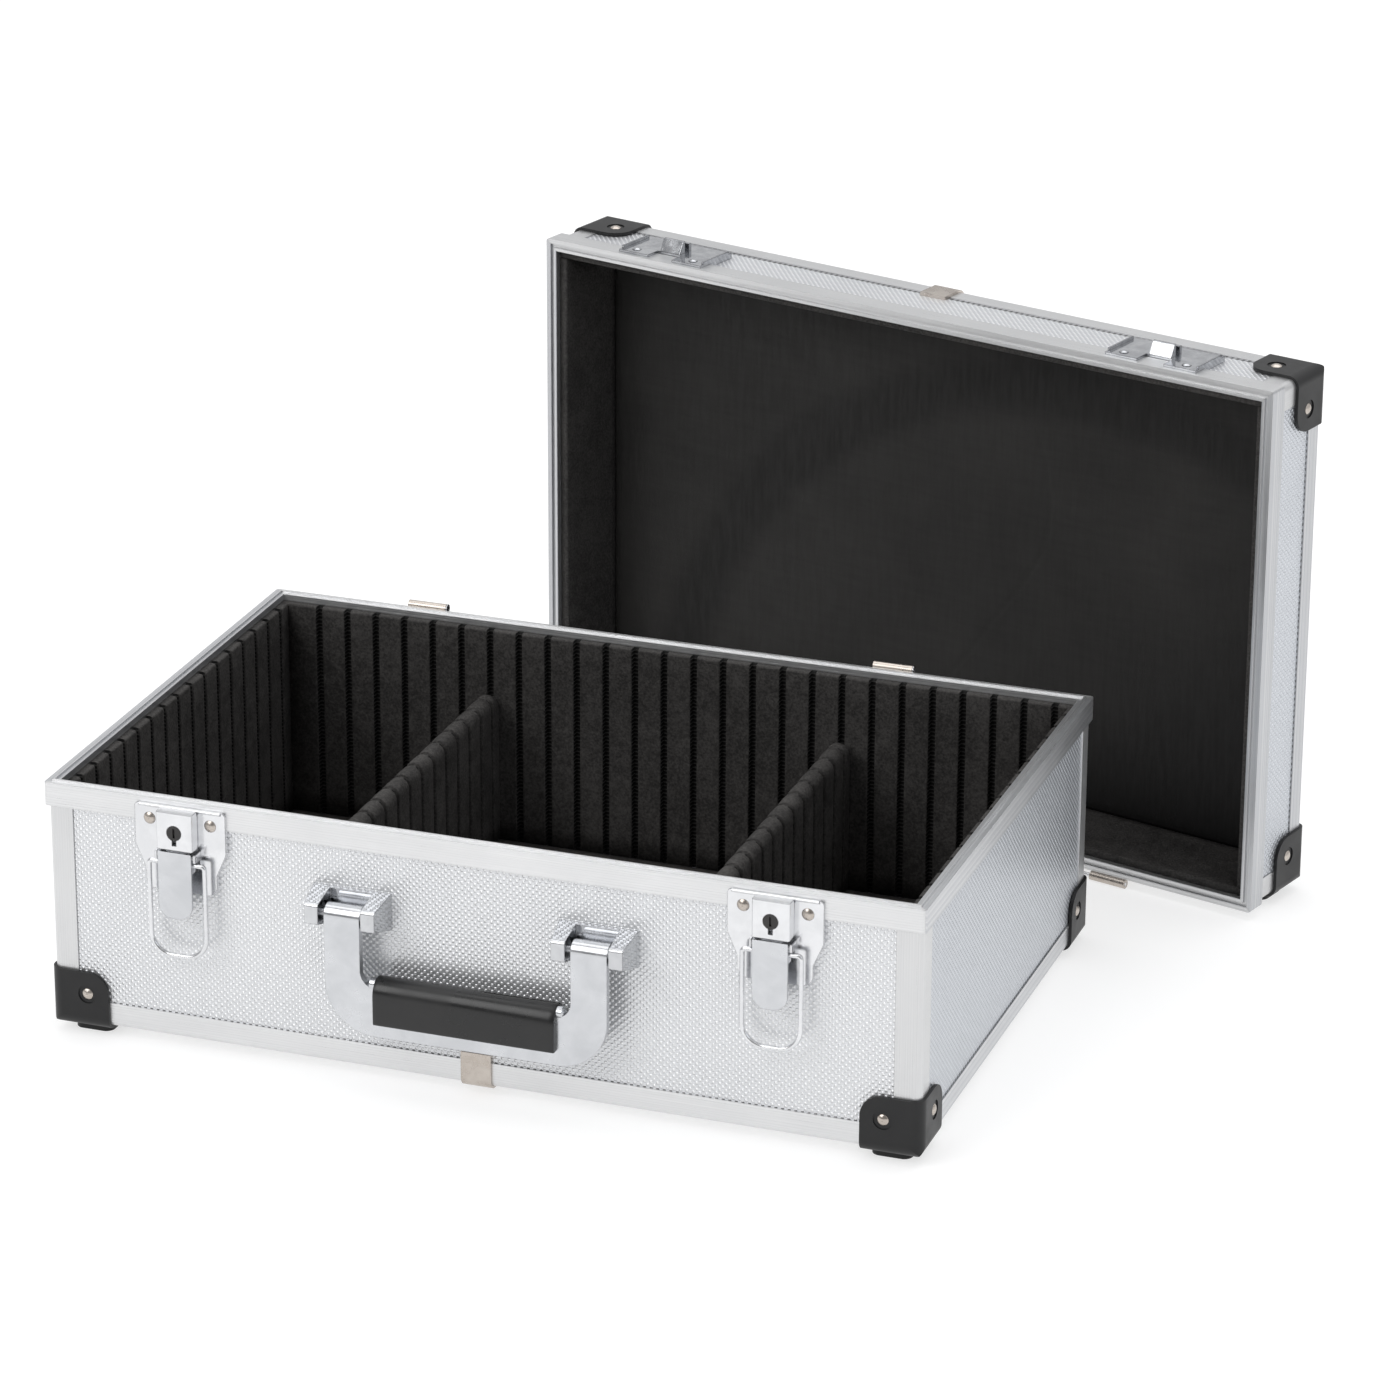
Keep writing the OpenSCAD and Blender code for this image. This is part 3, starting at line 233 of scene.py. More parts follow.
def extruded(name, lid, post):
    """Satin aluminium drawn with fine lines along its length."""
    f = Finish(name, Metallic=0.88)
    x, y, z = f.place(lid)
    out_x = f.maths("SUBTRACT", f.maths("ABSOLUTE", x), HALF_W)
    out_y = f.maths("SUBTRACT", f.maths("ABSOLUTE", y), HALF_D)
    if post:
        s = f.maths("ADD", out_x, out_y)
        along = z
    else:
        s = f.maths("ADD", z, f.maths("MAXIMUM", out_x, out_y))
        along = f.maths("ADD", x, y)
    flow = f.vector(f.maths("MULTIPLY", s, 2.6), f.maths("MULTIPLY", along, 0.012))
    streak = f.grain(flow, 1.0, 3.0, 0.6)
    ribs = f.maths("ABSOLUTE", f.maths("SINE", f.maths("MULTIPLY", s, math.pi / 1.45)))
    rib = f.ramp(ribs, 0.0, 0.35)
    wide = f.grain(f.vector(x, y, z), 0.02, 2.0)
    tone = f.maths("ADD", f.maths("MULTIPLY", streak, 0.7), f.maths("MULTIPLY", wide, 0.3))
    tone = f.maths("MULTIPLY", tone, f.maths("MULTIPLY_ADD", rib, 0.35, 0.68))
    shaded_side_mask = f.ramp(f.maths("SUBTRACT", out_x, out_y), 0.0, 0.6)
    soft, edge = f.edges(0.4)
    # Painted shade: the lid's trims and the corner posts are given a darker level than the base's
    # rails.
    level = 0.85 if lid else 0.86 if post else 0.98
    dark, light = ([level * c for c in t] for t in ((0.60, 0.605, 0.615), (0.93, 0.93, 0.93)))
    colour = f.tint(tone, dark, light)
    # Painted shade: the lengths along the two sides are coloured greyer and cooler than those in
    # front, in soft bands.
    if not post:
        bands = f.grain(f.vector(f.maths("MULTIPLY", s, 0.55), 0.0), 1.0, 2.0)
        band = f.ramp(bands, 0.35, 0.65, 0.12, 0.46)
        colour = f.shade(colour, f.maths("MULTIPLY", shaded_side_mask, band), (0.30, 0.32, 0.36, 1))
    # Painted reflection: a dark line is painted along the rounded edges.
    colour = f.shade(colour, f.maths("MULTIPLY", edge, 0.4), (0.22, 0.225, 0.235, 1))
    rough = f.ramp(streak, 0.2, 0.8, 0.26, 0.42)
    lines = f.bump(rib, 0.045, under=f.bump(streak, 0.02, under=soft))
    return f.wear(colour, rough, lines)


def plated(name, dark, light, low, high, wave=0.03, patch=0.05, rim=0.85, round_mm=0.75):
    """Bright plating, slightly uneven, with rounded edges along which a dark line is painted
    (painted reflection).
    """
    f = Finish(name, Metallic=1.0)
    x, y, z = f.place()
    here = f.vector(x, y, z)
    cloud = f.grain(here, patch, 4.0, 0.62, 0.4)
    fine = f.grain(here, 1.6, 2.0)
    drawn = [f.maths("MULTIPLY", c, by) for c, by in ((x, 0.35), (y, 3.0), (z, 3.0))]
    scratch = f.grain(f.vector(*drawn), 1.0, 2.0)
    rough = f.ramp(f.maths("ADD", cloud, f.maths("MULTIPLY", fine, 0.15)), 0.35, 0.8, low, high)
    soft, edge = f.edges(round_mm)
    colour = f.tint(f.ramp(cloud, 0.3, 0.75), dark, light)
    # Painted reflection: a dark line is painted along the rounded edges, as strong as rim.
    colour = f.shade(colour, f.maths("MULTIPLY", edge, rim), (0.06, 0.06, 0.07, 1))
    bump = f.bump(cloud, wave * 3, under=f.bump(scratch, 0.004, under=soft))
    return f.wear(colour, rough, bump)


def moulded(name, dark, light, rough, depth=0.02, scale=1.4, shine=0.5):
    """Black plastic with a fine moulded grain and paler rubbed patches."""
    f = Finish(name)
    f.shader.inputs["Specular IOR Level"].default_value = shine
    x, y, z = f.place()
    here = f.vector(x, y, z)
    skin = f.grain(here, scale, 3.0, 0.6)
    cloud = f.grain(here, 0.05, 4.0, 0.6)
    colour = f.tint(f.ramp(cloud, 0.3, 0.75), dark, light)
    return f.wear(colour, f.ramp(cloud, 0.3, 0.7, rough - 0.05, rough + 0.07), f.bump(skin, depth))


def foam(name, cut=False):
    """Black closed-cell foam: a soft skin, or the ribbed face of a knife cut."""
    f = Finish(name)
    f.shader.inputs["Specular IOR Level"].default_value = 0.28
    x, y, z = f.place()
    here = f.vector(x, y, z)
    cells = f.grain(here, 2.0, 2.0, 0.7)
    mottle = f.grain(here, 0.16, 4.0, 0.65)
    cloud = f.grain(here, 0.018, 3.0, 0.6, 0.6)
    if cut:
        height = f.maths("MULTIPLY", z, 2 * math.pi / 2.3)
        rungs = f.maths("SINE", f.maths("MULTIPLY_ADD", mottle, 5.0, height))
        spread = f.ramp(f.maths("ADD", rungs, cells), 0.4, 1.5)
        colour = f.tint(spread, (0.0045, 0.0043, 0.0042), (0.050, 0.048, 0.046))
        return f.wear(colour, f.ramp(cells, 0.3, 0.7, 0.55, 0.85), f.bump(spread, 0.5))
    tone = f.maths("ADD", f.maths("MULTIPLY", mottle, 0.55), f.maths("MULTIPLY", cloud, 0.5))
    speck = f.grain(here, 0.75, 3.0, 0.65)
    tone = f.maths("MULTIPLY_ADD", f.maths("SUBTRACT", speck, 0.5), 1.1, tone)
    colour = f.tint(f.ramp(tone, 0.25, 0.85), (0.0210, 0.0196, 0.0188), (0.0690, 0.0650, 0.0620))
    skin = f.bump(speck, 0.22, under=f.bump(mottle, 0.45))
    return f.wear(colour, f.ramp(mottle, 0.3, 0.7, 0.62, 0.82), skin)


def lining():
    """The lid's flat foam sheet, with brushed streaks, a faint arc of painted shade and painted
    shade towards one corner.
    """
    f = Finish("foam_sheet")
    f.shader.inputs["Specular IOR Level"].default_value = 0.30
    x, y, z = f.place(lid=True)
    here = f.vector(x, y, z)
    cells = f.grain(here, 2.4, 2.0, 0.7)
    upright = f.vector(f.maths("MULTIPLY", x, 1.4), f.maths("MULTIPLY", y, 0.16))
    level = f.vector(f.maths("MULTIPLY", x, 0.12), f.maths("MULTIPLY", y, 1.2))
    streak = f.grain(upright, 0.22, 4.0, 0.62)
    cross = f.grain(level, 0.22, 3.0, 0.6)
    cloud = f.grain(here, 0.010, 3.0, 0.55, 0.8)
    # Distance from a wide circle gives a faint arc of painted shade across the sheet.
    dx = f.maths("SUBTRACT", x, 95.0)
    dy = f.maths("ADD", y, -175.0)
    squares = f.maths("ADD", f.maths("MULTIPLY", dx, dx), f.maths("MULTIPLY", dy, dy))
    ring = f.maths("SQRT", squares)
    arc = f.ramp(f.maths("ABSOLUTE", f.maths("SUBTRACT", ring, 285.0)), 0.0, 26.0, 0.35, 0.0)
    crossed = f.maths("MULTIPLY_ADD", cross, 0.20, 0.08)
    tone = f.maths("ADD", f.maths("MULTIPLY", streak, 0.30), crossed)
    tone = f.maths("ADD", tone, f.maths("MULTIPLY", cloud, 0.5))
    tone = f.maths("SUBTRACT", tone, arc)
    colour = f.tint(f.ramp(tone, 0.3, 0.85), (0.0118, 0.0111, 0.0106), (0.0285, 0.0270, 0.0255))
    # Painted shade: the sheet is darker towards its lower right corner.
    corner_shade = f.maths("ADD", f.maths("MULTIPLY", x, 0.7), y)
    colour = f.shade(colour, f.ramp(corner_shade, 60.0, 250.0, 0.0, 0.95), (0.006, 0.0055, 0.0055, 1))
    skin = f.bump(cells, 0.08, under=f.bump(streak, 0.12))
    return f.wear(colour, f.ramp(streak, 0.3, 0.7, 0.55, 0.75), skin)


emboss = {}
for lid in (False, True):
    tray = "lid" if lid else "base"
    tall = LID_H if lid else BASE_H
    for across, up in (("x", "z"), ("y", "z"), ("x", "y")):
        emboss[tray, across, up] = embossed(f"{tray}_emboss_{across}{up}", across, up, lid, tall)
trim = {
    (tray, post): extruded(f"{tray}_{'post' if post else 'rail'}_satin", tray == "lid", post)
    for tray in ("base", "lid")
    for post in (False, True)
}
chrome = plated("chrome", (0.68, 0.685, 0.70), (0.80, 0.805, 0.82), 0.12, 0.24)
mirror = plated("mirror", (0.50, 0.505, 0.52), (0.64, 0.65, 0.665), 0.02, 0.05, 0.006, rim=0.8)
catch_chrome = plated(
    "catch_chrome", (0.44, 0.45, 0.47), (0.62, 0.63, 0.65), 0.08, 0.18, 0.02, 0.12, 0.97, 0.9
)
chrome_satin = plated(
    "chrome_satin", (0.54, 0.55, 0.57), (0.66, 0.67, 0.69), 0.16, 0.30, 0.04, 0.035, 0.35, 0.45
)
nickel = plated(
    "nickel", (0.48, 0.43, 0.385), (0.60, 0.55, 0.50), 0.22, 0.36, 0.01, 0.10, 0.5, 0.35
)
steel = plated("steel", (0.55, 0.55, 0.56), (0.82, 0.82, 0.83), 0.12, 0.28)
protector = moulded(
    "protector_black", (0.009, 0.009, 0.0095), (0.017, 0.0168, 0.0172), 0.44, shine=0.38
)
lock_black = moulded("lock_black", (0.010, 0.009, 0.009), (0.030, 0.027, 0.026), 0.30)
grip_black = moulded(
    "grip_black", (0.008, 0.008, 0.0082), (0.013, 0.0128, 0.013), 0.31, 0.008, 2.2
)
board = moulded("board_grey", (0.030, 0.029, 0.028), (0.050, 0.048, 0.046), 0.75, 0.05)
foam_skin = foam("foam_skin")
foam_cut = foam("foam_cut", cut=True)
foam_sheet = lining()

FINISHES = {
    emboss["base", "x", "z"]: ("base_front_panel", "base_back_panel"),
    emboss["base", "y", "z"]: ("base_left_panel", "base_right_panel"),
    emboss["base", "x", "y"]: ("base_bottom_panel",),
    emboss["lid", "x", "z"]: ("lid_front_panel", "lid_back_panel"),
    emboss["lid", "y", "z"]: ("lid_left_panel", "lid_right_panel"),
    emboss["lid", "x", "y"]: ("lid_top_panel",),
    trim["base", False]: ("base_rim", "base_bottom_edges"),
    trim["base", True]: ("base_corner_posts",),
    trim["lid", False]: ("lid_rim", "lid_top_edges"),
    trim["lid", True]: ("lid_corner_posts",),
    protector: ("base_corner_protectors", "lid_corner_protectors"),
    nickel: (
        "base_protector_rivets",
        "lid_protector_rivets",
        "base_edge_clip",
        "lid_edge_clip",
        "base_hardware_rivets",
        "lid_pivot_rivet",
        "base_hinge_leaves",
        "lid_hinge_leaves",
    ),
    steel: ("hinge_bushes", "hinge_pins", "lever_pins", "handle_pins", "bracket_screws"),
    chrome_satin: ("handle_bow", "left_latch_lever", "right_latch_lever"),
    mirror: ("handle_left_bracket", "handle_right_bracket"),
    catch_chrome: ("left_catch", "right_catch", "lid_hardware_rivets"),
    chrome: (
        "left_latch_plate",
        "right_latch_plate",
        "left_latch_housing",
        "right_latch_housing",
        "left_latch_loop",
        "right_latch_loop",
        "left_lock_cam",
        "right_lock_cam",
    ),
    lock_black: ("left_lock_plug", "right_lock_plug"),
    board: ("left_divider_board", "right_divider_board"),
}
for finish, names in FINISHES.items():
    for name in names:
        mesh = nodes[name].data
        mesh.materials.clear()
        mesh.materials.append(finish)

# ---------- soft pieces ----------


def piece(name, points, faces, finishes, body, stands_for, kinds=None):
    """A mesh in millimetres of the shared frame, riding on a body for a CAD node."""
    mesh = bpy.data.meshes.new(name)
    mesh.from_pydata([[c / 1000 for c in p] for p in points], [], faces)
    for finish in finishes:
        mesh.materials.append(finish)
    if kinds:
        mesh.polygons.foreach_set("material_index", kinds)
    mesh.polygons.foreach_set("use_smooth", [True] * len(mesh.polygons))
    work = bmesh.new()
    work.from_mesh(mesh)
    bmesh.ops.recalc_face_normals(work, faces=work.faces)
    work.to_mesh(mesh)
    work.free()
    obj = bpy.data.objects.new(name, mesh)
    bpy.context.scene.collection.objects.link(obj)
    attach(obj, body)
    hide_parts(stands_for)
    return obj


def loft(rings, first, kind_of=None):
    """Quads between closed rings of equal length, with a cap at each end."""
    n = len(rings[0])
    faces, kinds = [], []
    for i in range(len(rings) - 1):
        for j in range(n):
            k = (j + 1) % n
            here, after = first + i * n, first + (i + 1) * n
            faces.append((here + j, here + k, after + k, after + j))
            kinds.append(kind_of(i, j) if kind_of else 0)
    for row in (0, len(rings) - 1):
        faces.append(tuple(first + row * n + j for j in range(n)))
        kinds.append(0)
    return [p for ring in rings for p in ring], faces, kinds


def wobble(a, b, c=0.0):
    return noise.noise(Vector((a, b, c)))


# How a cut lip opens: distance from the middle of the slot, depth of the face.
LIP = ((-LIP_REACH, 0.0), (-2.35, 0.05), (-1.98, 0.35), (-1.80, 1.0), (-1.66, 3.9))


def stations(low, high, slots, seed):
    """Places along a wall with the depth of its face there: (place, inset, in slot)."""
    made = [(low, 0.0, False)]
    for n, c in enumerate(slots):
        c += 0.22 * wobble(seed, n * 1.7)
        if n:
            made.append(((made[-1][0] + c - LIP_REACH) / 2, 0.0, False))
        for u, d in LIP:
            made.append((c + u, d, d > 3))
        for u, d in reversed(LIP):
            made.append((c - u, d, False))
    made.append((high, 0.0, False))
    return made


def wall_foam(low, high, slots, z_low, z_high, seed):
    """Closed rings of (along, depth, height) for one wall of foam, and its cut faces."""
    r = LIP_R
    rows = [z_low + 0.02 + (z_high - r - z_low) * k / 9 for k in range(10)]
    rings, cuts = [], []
    for u, inset, cut in stations(low, high, slots, seed):
        def face(z):
            drift = FOAM_SAG * (1 + wobble(u * 0.03, z * 0.04, seed)) if inset < 0.01 else 0.0
            return FOAM_T - inset - drift

        def slide(z):
            if inset <= 0.01:
                return u
            return u + 0.20 * wobble(seed + round(u / SLOT_PITCH) * 3.1, z * 0.11)

        ring = [(slide(z), face(z), z) for z in rows]
        for a in (30, 60, 90):
            t = math.radians(a)
            depth = face(z_high) - r + r * math.cos(t)
            ring.append((slide(z_high), depth, z_high - r + r * math.sin(t)))
        ring.append((u, 1.1, z_high))
        ring.append((u, 1.1, z_high - 6.0))
        ring.append((u, 0.05, z_high - 6.0))
        ring.append((u, 0.05, z_low))
        rings.append(ring)
        cuts.append(cut)
    front = len(rows) + 2

    def kind_of(i, j):
        deep = any(cuts[max(i - 1, 0) : i + 3])
        return 1 if deep and j < front and abs(rings[i + 1][0][0] - rings[i][0][0]) < SLOT_W else 0

    return rings, kind_of


def walls(name, parts, body, stands_for):
    """One piece from several walls of foam, each with its own way into the frame."""
    points, faces, kinds = [], [], []
    for rings, kind_of, to_frame in parts:
        p, f, k = loft([[to_frame(*q) for q in ring] for ring in rings], len(points), kind_of)
        points += p
        faces += f
        kinds += k
    obj = piece(name, points, faces, (foam_skin, foam_cut), body, stands_for, kinds)


long_slots = [SLOT_SHIFT + k * SLOT_PITCH for k in range(-12, 14)]
side_slots = [(k + 0.5) * SLOT_PITCH for k in range(-8, 8)]
base_low = FOAM_LOW + TRAY_LIFT
base_high = BASE_H - LINER_DROP + TRAY_LIFT
for side, name in ((-1, "front_liner"), (1, "back_liner")):
    wall_end = WALL_X - 0.05
    rings, kind_of = wall_foam(-wall_end, wall_end, long_slots, base_low, base_high, 3.0 + side)
    walls(
        f"{name}_foam",
        [(rings, kind_of, lambda u, d, z, s=side: (u, s * (WALL_Y - d), z))],
        "base",
        name,
    )
ends = []
for side in (-1, 1):
    wall_end = FOAM_Y - 0.1
    rings, kind_of = wall_foam(-wall_end, wall_end, side_slots, base_low, base_high, 9.0 + side)
    ends.append((rings, kind_of, lambda u, d, z, s=side: (s * (WALL_X - d), u, z)))
walls("end_liners_foam", ends, "base", "end_liners")

# The lid's wall foam has no slots. Its walls are in the standing lid's frame.
lid_low, lid_high = FOAM_LOW, LID_H - LINER_DROP
lid_walls = []
for side in (-1, 1):
    marks = [(k + 0.5) * 29.0 for k in range(-8, 8)]
    rings = []
    for u in [-WALL_X + 0.05, *marks, WALL_X - 0.05]:
        rings.append(wall_foam(u, u + 0.01, [], lid_low, lid_high, 20.0 + side)[0][0])
    lid_walls.append(
        (rings, None, lambda u, d, z, s=side: lid_point(-u, LID_H - z, HALF_D - s * (WALL_Y - d)))
    )
    rings = []
    for k in range(-9, 10):
        u = k * (FOAM_Y - 0.1) / 9
        rings.append(wall_foam(u, u + 0.01, [], lid_low, lid_high, 24.0 + side)[0][0])
    lid_walls.append(
        (rings, None, lambda u, d, z, s=side: lid_point(-s * (WALL_X - d), LID_H - z, HALF_D - u))
    )
walls("lid_side_liners_foam", lid_walls, "lid", "lid_side_liners")


def sheet_foam(name, to_frame, body, stands_for, finish, dip, columns=96, rows=60):
    """A flat foam pad whose face is pressed in by dip(x, y) millimetres."""
    x_half, y_half, low, high = FOAM_X - 0.15, FOAM_Y - 0.15, FOAM_LOW, FOAM_LOW + PAD_T
    points, faces = [], []
    for z in (high, low):
        for j in range(rows + 1):
            for i in range(columns + 1):
                x = -x_half + 2 * x_half * i / columns
                y = -y_half + 2 * y_half * j / rows
                sink = dip(x, y) if z == high else 0.0
                points.append(to_frame(x, y, z - sink))
    across = columns + 1
    count = across * (rows + 1)
    for j in range(rows):
        for i in range(columns):
            a = j * across + i
            faces.append((a, a + 1, a + across + 1, a + across))
            faces.append((count + a, count + a + across, count + a + across + 1, count + a + 1))
    border = list(range(across))
    border += [j * across + columns for j in range(1, rows + 1)]
    border += [rows * across + i for i in range(columns - 1, -1, -1)]
    border += [j * across for j in range(rows - 1, 0, -1)]
    for a, b in zip(border, border[1:] + border[:1]):
        faces.append((a, count + a, count + b, b))
    obj = piece(name, points, faces, (finish,), body, stands_for)


def floor_dip(x, y):
    near = min(FOAM_X - abs(x), FOAM_Y - abs(y))
    return 0.25 * (1 + wobble(x * 0.02, y * 0.02, 5.0)) + 0.9 * max(0.0, 1 - near / 6.0) ** 2


# The fold left in the lid's sheet, as it curves down from the upper right.
CREASE = (
    (66.0, 236.0),
    (72.5, 214.7),
    (75.3, 196.6),
    (74.6, 180.0),
    (69.5, 160.9),
    (57.5, 141.2),
    (42.4, 120.8),
    (26.6, 97.2),
    (9.8, 74.6),
    (-9.0, 52.0),
)


def crease_distance(x, z):
    best = 1e9
    for (ax, az), (bx, bz) in zip(CREASE, CREASE[1:]):
        dx, dz = bx - ax, bz - az
        t = max(0.0, min(1.0, ((x - ax) * dx + (z - az) * dz) / (dx * dx + dz * dz)))
        best = min(best, math.hypot(x - ax - t * dx, z - az - t * dz))
    return best


def lid_dip(x, y):
    near = min(FOAM_X - abs(x), FOAM_Y - abs(y))
    soft = 0.35 * (1 + wobble(x * 0.010, y * 0.010, 8.0))
    soft += 0.12 * (1 + wobble(x * 0.05, y * 0.05, 2.0))
    fold = crease_distance(-x, HALF_D - y)
    return soft + 0.35 * math.exp(-((fold / 1.3) ** 2)) + 0.9 * max(0.0, 1 - near / 6.0) ** 2


sheet_foam(
    "floor_pad_foam",
    lambda x, y, z: (x, y, z + TRAY_LIFT),
    "base",
    "floor_pad",
    foam_skin,
    floor_dip,
)
sheet_foam(
    "lid_top_pad_foam",
    lambda x, y, z: lid_point(-x, LID_H - z, HALF_D - y),
    "lid",
    "lid_top_pad",
    foam_sheet,
    lid_dip,
    312,
    190,
)


def divider(side, name):
    """Foam folded over the board: grooved faces, and a top that puckers at each groove."""
    centre = SLOT_SHIFT + side * 6 * SLOT_PITCH
    foot = FOAM_LOW + TRAY_LIFT + 3.3
    half_y, half_t, shoulder = 142.7, 6.0, 84.0
    end_r = 7.0
    rings, cuts = [], []
    along = []
    for k in range(5):
        along.append((-half_y + end_r * (1 - math.cos(math.radians(k * 18))), 0.0, False))
    reach = half_y - end_r - 0.2
    body_stations = stations(-half_y + end_r + 0.2, reach, side_slots, 30.0 + side)
    along += [s for s in body_stations if abs(s[0]) < half_y - end_r]
    for k in range(4, -1, -1):
        along.append((half_y - end_r * (1 - math.cos(math.radians(k * 18))), 0.0, False))
    last = None
    for y, inset, cut in along:
        if last is not None and y <= last + 0.004:
            continue
        last = y
        over = max(0.0, abs(y) - (half_y - end_r))
        drop = end_r - math.sqrt(max(0.0, end_r * end_r - over * over))
        groove = min(inset, 2.5)
        gap = min((abs(y - c) for c in side_slots), default=20)
        crown = 0.28 * min(1.0, max(0.0, gap - 1.8) / 7.0)
        r = half_t - groove - (0.28 - crown) - 0.12 * drop
        rise = half_t - 0.55 * groove - 0.6 * (0.28 - crown)
        top = foot + shoulder - drop
        ring = []
        lean = 0.25 * wobble(y * 0.05, side * 4.0)
        for sx in (-1, 1):
            rows = [foot + (top - foot) * q / 8 for q in range(9)]
            if sx > 0:
                arc = [
                    (r * math.cos(math.radians(a)), top + rise * math.sin(math.radians(a)))
                    for a in range(162, 0, -18)
                ]
                ring += [(centre + lean + ax, y, az) for ax, az in arc]
                rows.reverse()
            ring += [(centre + sx * r + lean * (z - foot) / (top - foot), y, z) for z in rows]
        rings.append(ring)
        cuts.append(cut)

    def kind_of(i, j):
        step = rings[i + 1][0][1] - rings[i][0][1]
        return 1 if (cuts[i] or cuts[i + 1]) and step < SLOT_W else 0

    points, faces, kinds = loft(rings, 0, kind_of)
    body, skins = name.replace("_foam", ""), (foam_skin, foam_cut)
    obj = piece(f"{name}_skin", points, faces, skins, body, name, kinds)


divider(-1, "left_divider_foam")
divider(1, "right_divider_foam")


def grip():
    """Soft sleeve on the handle bar: a flat front that rolls back over the top."""
    half = 50.6
    low = 34.8
    tall = 25.0
    front, back = 20.4, 6.0
    bar_front, bar_back, bar_top = 16.5, 12.5, 19.3
    rings = []
    spots = [k / 30 for k in range(31)]
    for t in [0.0, 0.002, 0.005] + spots[1:-1] + [0.995, 0.998, 1.0]:
        x = half * (2 * t - 1)
        edge = min(half - abs(x), 0.8)
        tuck = 0.5 * (1 - math.sqrt(max(0.0, 1 - ((0.8 - edge) / 0.8) ** 2)))
        roll_f = 8.4 + 1.8 * t - 0.5 * math.sin(math.pi * t)
        roll_b = 5.5
        crown = 0.35 * math.sin(math.pi * t)
        profile = [(front - 1.0, 0.0), (front - 0.25, 0.3), (front, 1.2)]
        profile += [(front - 0.10 * crown, tall * 0.3), (front - 0.3 * crown, tall * 0.5)]
        for a in range(0, 91, 15):
            c, s = math.cos(math.radians(a)), math.sin(math.radians(a))
            profile.append((front - roll_f + roll_f * c, tall - roll_f + roll_f * s))
        for a in range(90, 181, 15):
            c, s = math.cos(math.radians(a)), math.sin(math.radians(a))
            profile.append((back + roll_b + roll_b * c, tall - roll_b + roll_b * s))
        profile += [(back, tall * 0.4), (back, 1.0), (back + 1.0, 0.0)]
        profile += [(bar_back, 0.0), (bar_back, bar_top), (bar_front, bar_top), (bar_front, 0.0)]
        mid_q, mid_z = (front + back) / 2, tall / 2
        ring = []
        for q, z in profile:
            inner = bar_back <= q <= bar_front and z <= bar_top
            if not inner:
                q -= tuck * (1 if q > mid_q else -1) * min(1.0, abs(q - mid_q) / 4)
                z -= tuck * max(0.0, (z - mid_z) / mid_z)
            ring.append((x, -PANEL_FACE_Y - q, low + z))
        rings.append(ring)
    points, faces, _ = loft(rings, 0)
    obj = piece(
        "handle_grip_sleeve", points, faces, (grip_black,), "handle", "handle_grip"
    )


grip()

# ---------- studio ----------


def stage_floor():
    mesh = bpy.data.meshes.new("studio_floor")
    side, z = 40.0, FLOOR_Z / 1000
    corners = [(-side, -side, z), (side, -side, z), (side, side, z), (-side, side, z)]
    mesh.from_pydata(corners, [], [(0, 1, 2, 3)])
    floor = bpy.data.objects.new("studio_floor", mesh)
    bpy.context.scene.collection.objects.link(floor)
    made = bpy.data.materials.new("studio_floor")
    made.use_nodes = True
    tree = made.node_tree
    tree.nodes.clear()
    out = tree.nodes.new("ShaderNodeOutputMaterial")
    seen = tree.nodes.new("ShaderNodeLightPath")
    plain = tree.nodes.new("ShaderNodeBsdfDiffuse")
    plain.inputs["Color"].default_value = (0.86, 0.86, 0.86, 1)
    veiled = tree.nodes.new("ShaderNodeBsdfDiffuse")
    veiled.inputs["Color"].default_value = (0.42, 0.42, 0.42, 1)
    glow = tree.nodes.new("ShaderNodeEmission")
    glow.inputs["Strength"].default_value = 0.66
    both = tree.nodes.new("ShaderNodeAddShader")
    pick = tree.nodes.new("ShaderNodeMixShader")
    either = []
    for key in ("Is Camera Ray", "Is Glossy Ray", "Is Transmission Ray"):
        either.append(seen.outputs[key])
    first = tree.nodes.new("ShaderNodeMath")
    first.operation = "MAXIMUM"
    second = tree.nodes.new("ShaderNodeMath")
    second.operation = "MAXIMUM"
    link = tree.links.new
    link(either[0], first.inputs[0])
    link(either[1], first.inputs[1])
    link(first.outputs[0], second.inputs[0])
    link(either[2], second.inputs[1])
    link(veiled.outputs[0], both.inputs[0])
    link(glow.outputs[0], both.inputs[1])
    link(second.outputs[0], pick.inputs[0])
    link(plain.outputs[0], pick.inputs[1])
    link(both.outputs[0], pick.inputs[2])
    link(pick.outputs[0], out.inputs["Surface"])
    mesh.materials.append(made)


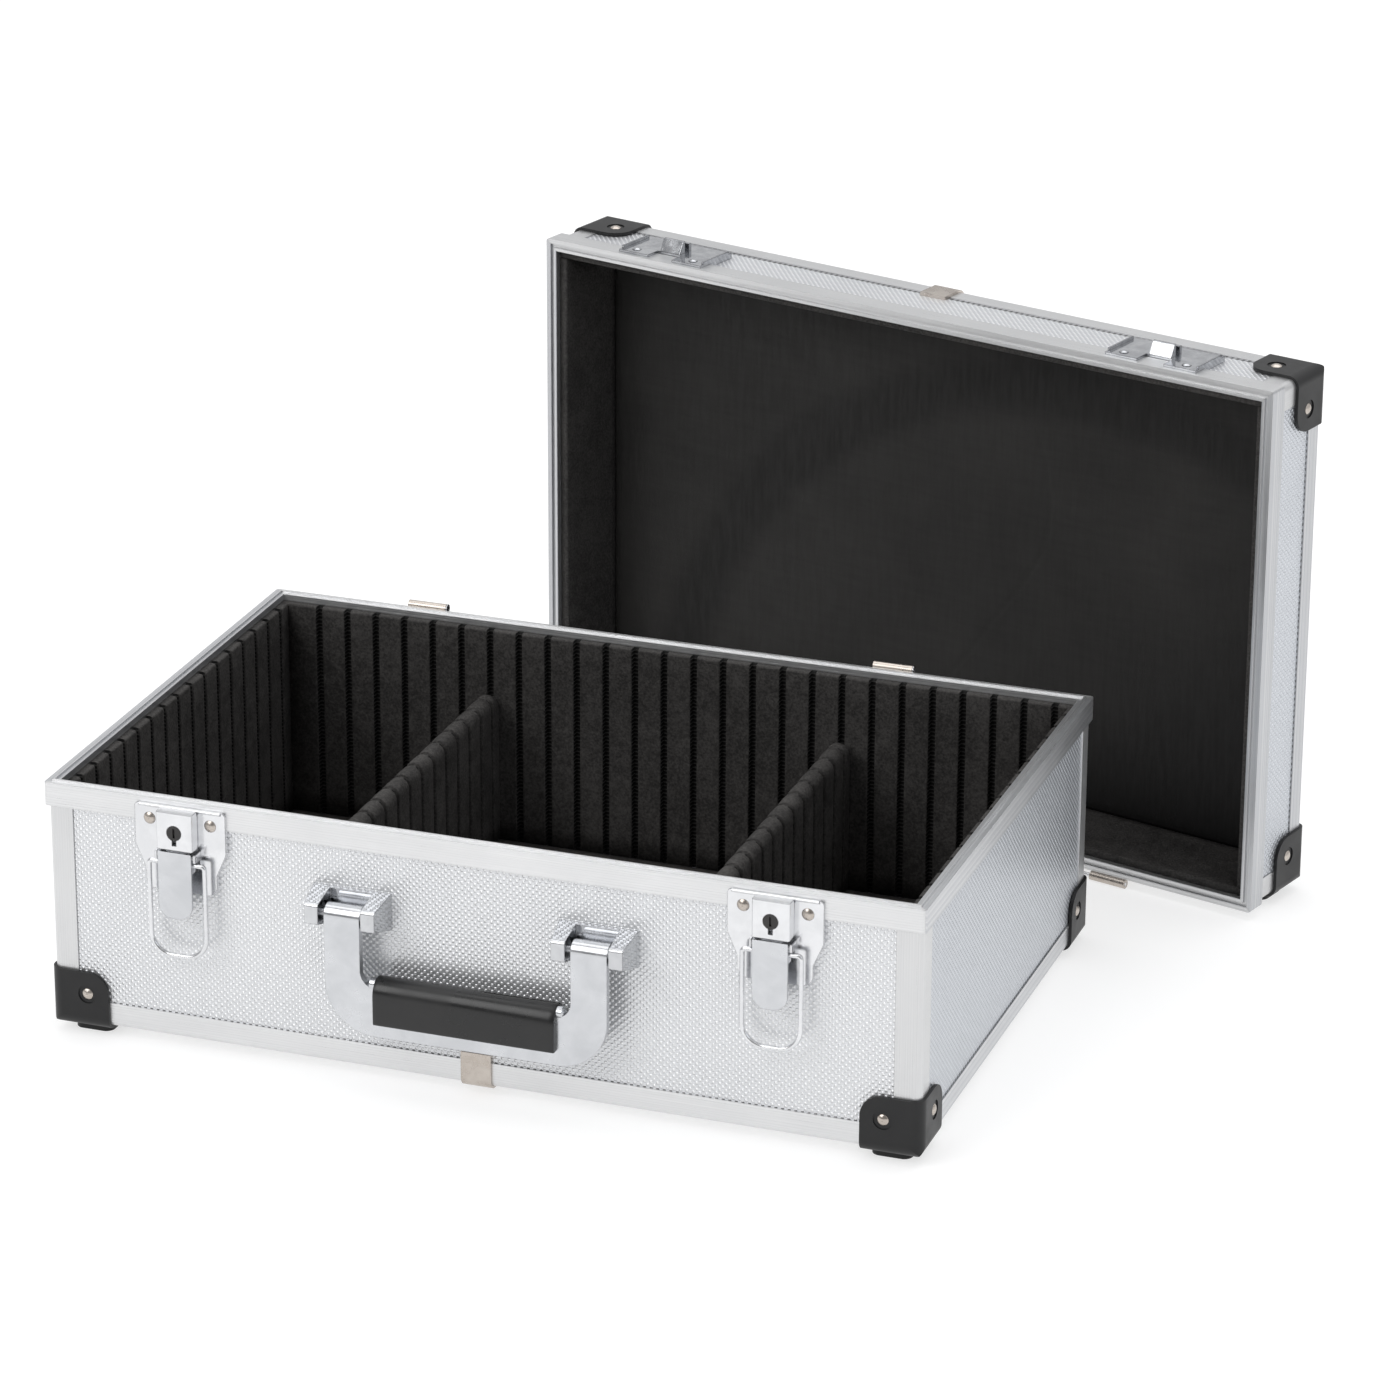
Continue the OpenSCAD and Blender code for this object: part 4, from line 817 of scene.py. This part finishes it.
def studio_world():
    """White for camera rays; all other rays see a tent that is dimmer in front."""
    world = bpy.data.worlds.new("studio")
    bpy.context.scene.world = world
    world.use_nodes = True
    tree = world.node_tree
    tree.nodes.clear()
    link = tree.links.new
    out = tree.nodes.new("ShaderNodeOutputWorld")
    seen = tree.nodes.new("ShaderNodeLightPath")
    where = tree.nodes.new("ShaderNodeTexCoord")
    parts = tree.nodes.new("ShaderNodeSeparateXYZ")
    link(where.outputs["Generated"], parts.inputs[0])
    ahead = tree.nodes.new("ShaderNodeMapRange")
    ahead.interpolation_type = "SMOOTHSTEP"
    for socket, value in zip(ahead.inputs[1:5], (-0.95, 0.15, 0.30, 0.78)):
        socket.default_value = value
    link(parts.outputs["Y"], ahead.inputs[0])
    lift = tree.nodes.new("ShaderNodeMapRange")
    lift.interpolation_type = "SMOOTHSTEP"
    for socket, value in zip(lift.inputs[1:5], (0.0, 0.55, 0.75, 1.0)):
        socket.default_value = value
    link(parts.outputs["Z"], lift.inputs[0])
    level = tree.nodes.new("ShaderNodeMath")
    level.operation = "MULTIPLY"
    link(ahead.outputs[0], level.inputs[0])
    link(lift.outputs[0], level.inputs[1])
    tent = tree.nodes.new("ShaderNodeBackground")
    tent.inputs["Color"].default_value = (0.985, 0.99, 1.0, 1)
    link(level.outputs[0], tent.inputs["Strength"])
    white = tree.nodes.new("ShaderNodeBackground")
    white.inputs["Strength"].default_value = 1.0
    pick = tree.nodes.new("ShaderNodeMixShader")
    link(seen.outputs["Is Camera Ray"], pick.inputs[0])
    link(tent.outputs[0], pick.inputs[1])
    link(white.outputs[0], pick.inputs[2])
    link(pick.outputs[0], out.inputs["Surface"])


def lamp(name, at, towards, wide, tall, watts, colour=(1, 1, 1)):
    data = bpy.data.lights.new(name, "AREA")
    data.shape = "RECTANGLE"
    data.size, data.size_y = wide, tall
    data.energy = watts
    data.color = colour
    obj = bpy.data.objects.new(name, data)
    bpy.context.scene.collection.objects.link(obj)
    obj.location = at
    obj.rotation_mode = "QUATERNION"
    obj.rotation_quaternion = (Vector(towards) - Vector(at)).to_track_quat("-Z", "Y")


def camera():
    """The photograph's camera: its place, its turn and a lens for a frame 1376 pixels wide."""
    azimuth, elevation, roll = (math.radians(a) for a in (19.54, 21.66, 0.21))
    flat = math.cos(elevation)
    forward = Vector(
        (-math.sin(azimuth) * flat, math.cos(azimuth) * flat, -math.sin(elevation))
    )
    right = Vector((math.cos(azimuth), math.sin(azimuth), 0))
    up = right.cross(forward)
    turned = right * math.cos(roll) + up * math.sin(roll)
    right, up = turned, up * math.cos(roll) - right * math.sin(roll)
    data = bpy.data.cameras.new("camera")
    data.sensor_width = SENSOR_W
    data.lens = FOCAL_PX / PHOTO_PX * SENSOR_W
    data.clip_start, data.clip_end = 0.05, 200.0
    obj = bpy.data.objects.new("camera", data)
    bpy.context.scene.collection.objects.link(obj)
    turn = Matrix((right, up, -forward)).transposed().to_4x4()
    turn.translation = (0.98875, -2.61025, 1.27563)
    obj.matrix_world = turn
    bpy.context.scene.camera = obj


stage_floor()
studio_world()
lamp("key", (-1.7, -2.6, 2.6), (0, 0, 0.1), 2.6, 2.6, 63)
lamp("fill", (2.6, -1.2, 1.5), (0.1, 0, 0.1), 1.4, 1.4, 6, (0.86, 0.92, 1.0))
lamp("top", (0.2, 0.8, 3.2), (0.1, 0.1, 0), 3.6, 3.2, 44)
camera()
bpy.context.scene.view_settings.view_transform = "Standard"
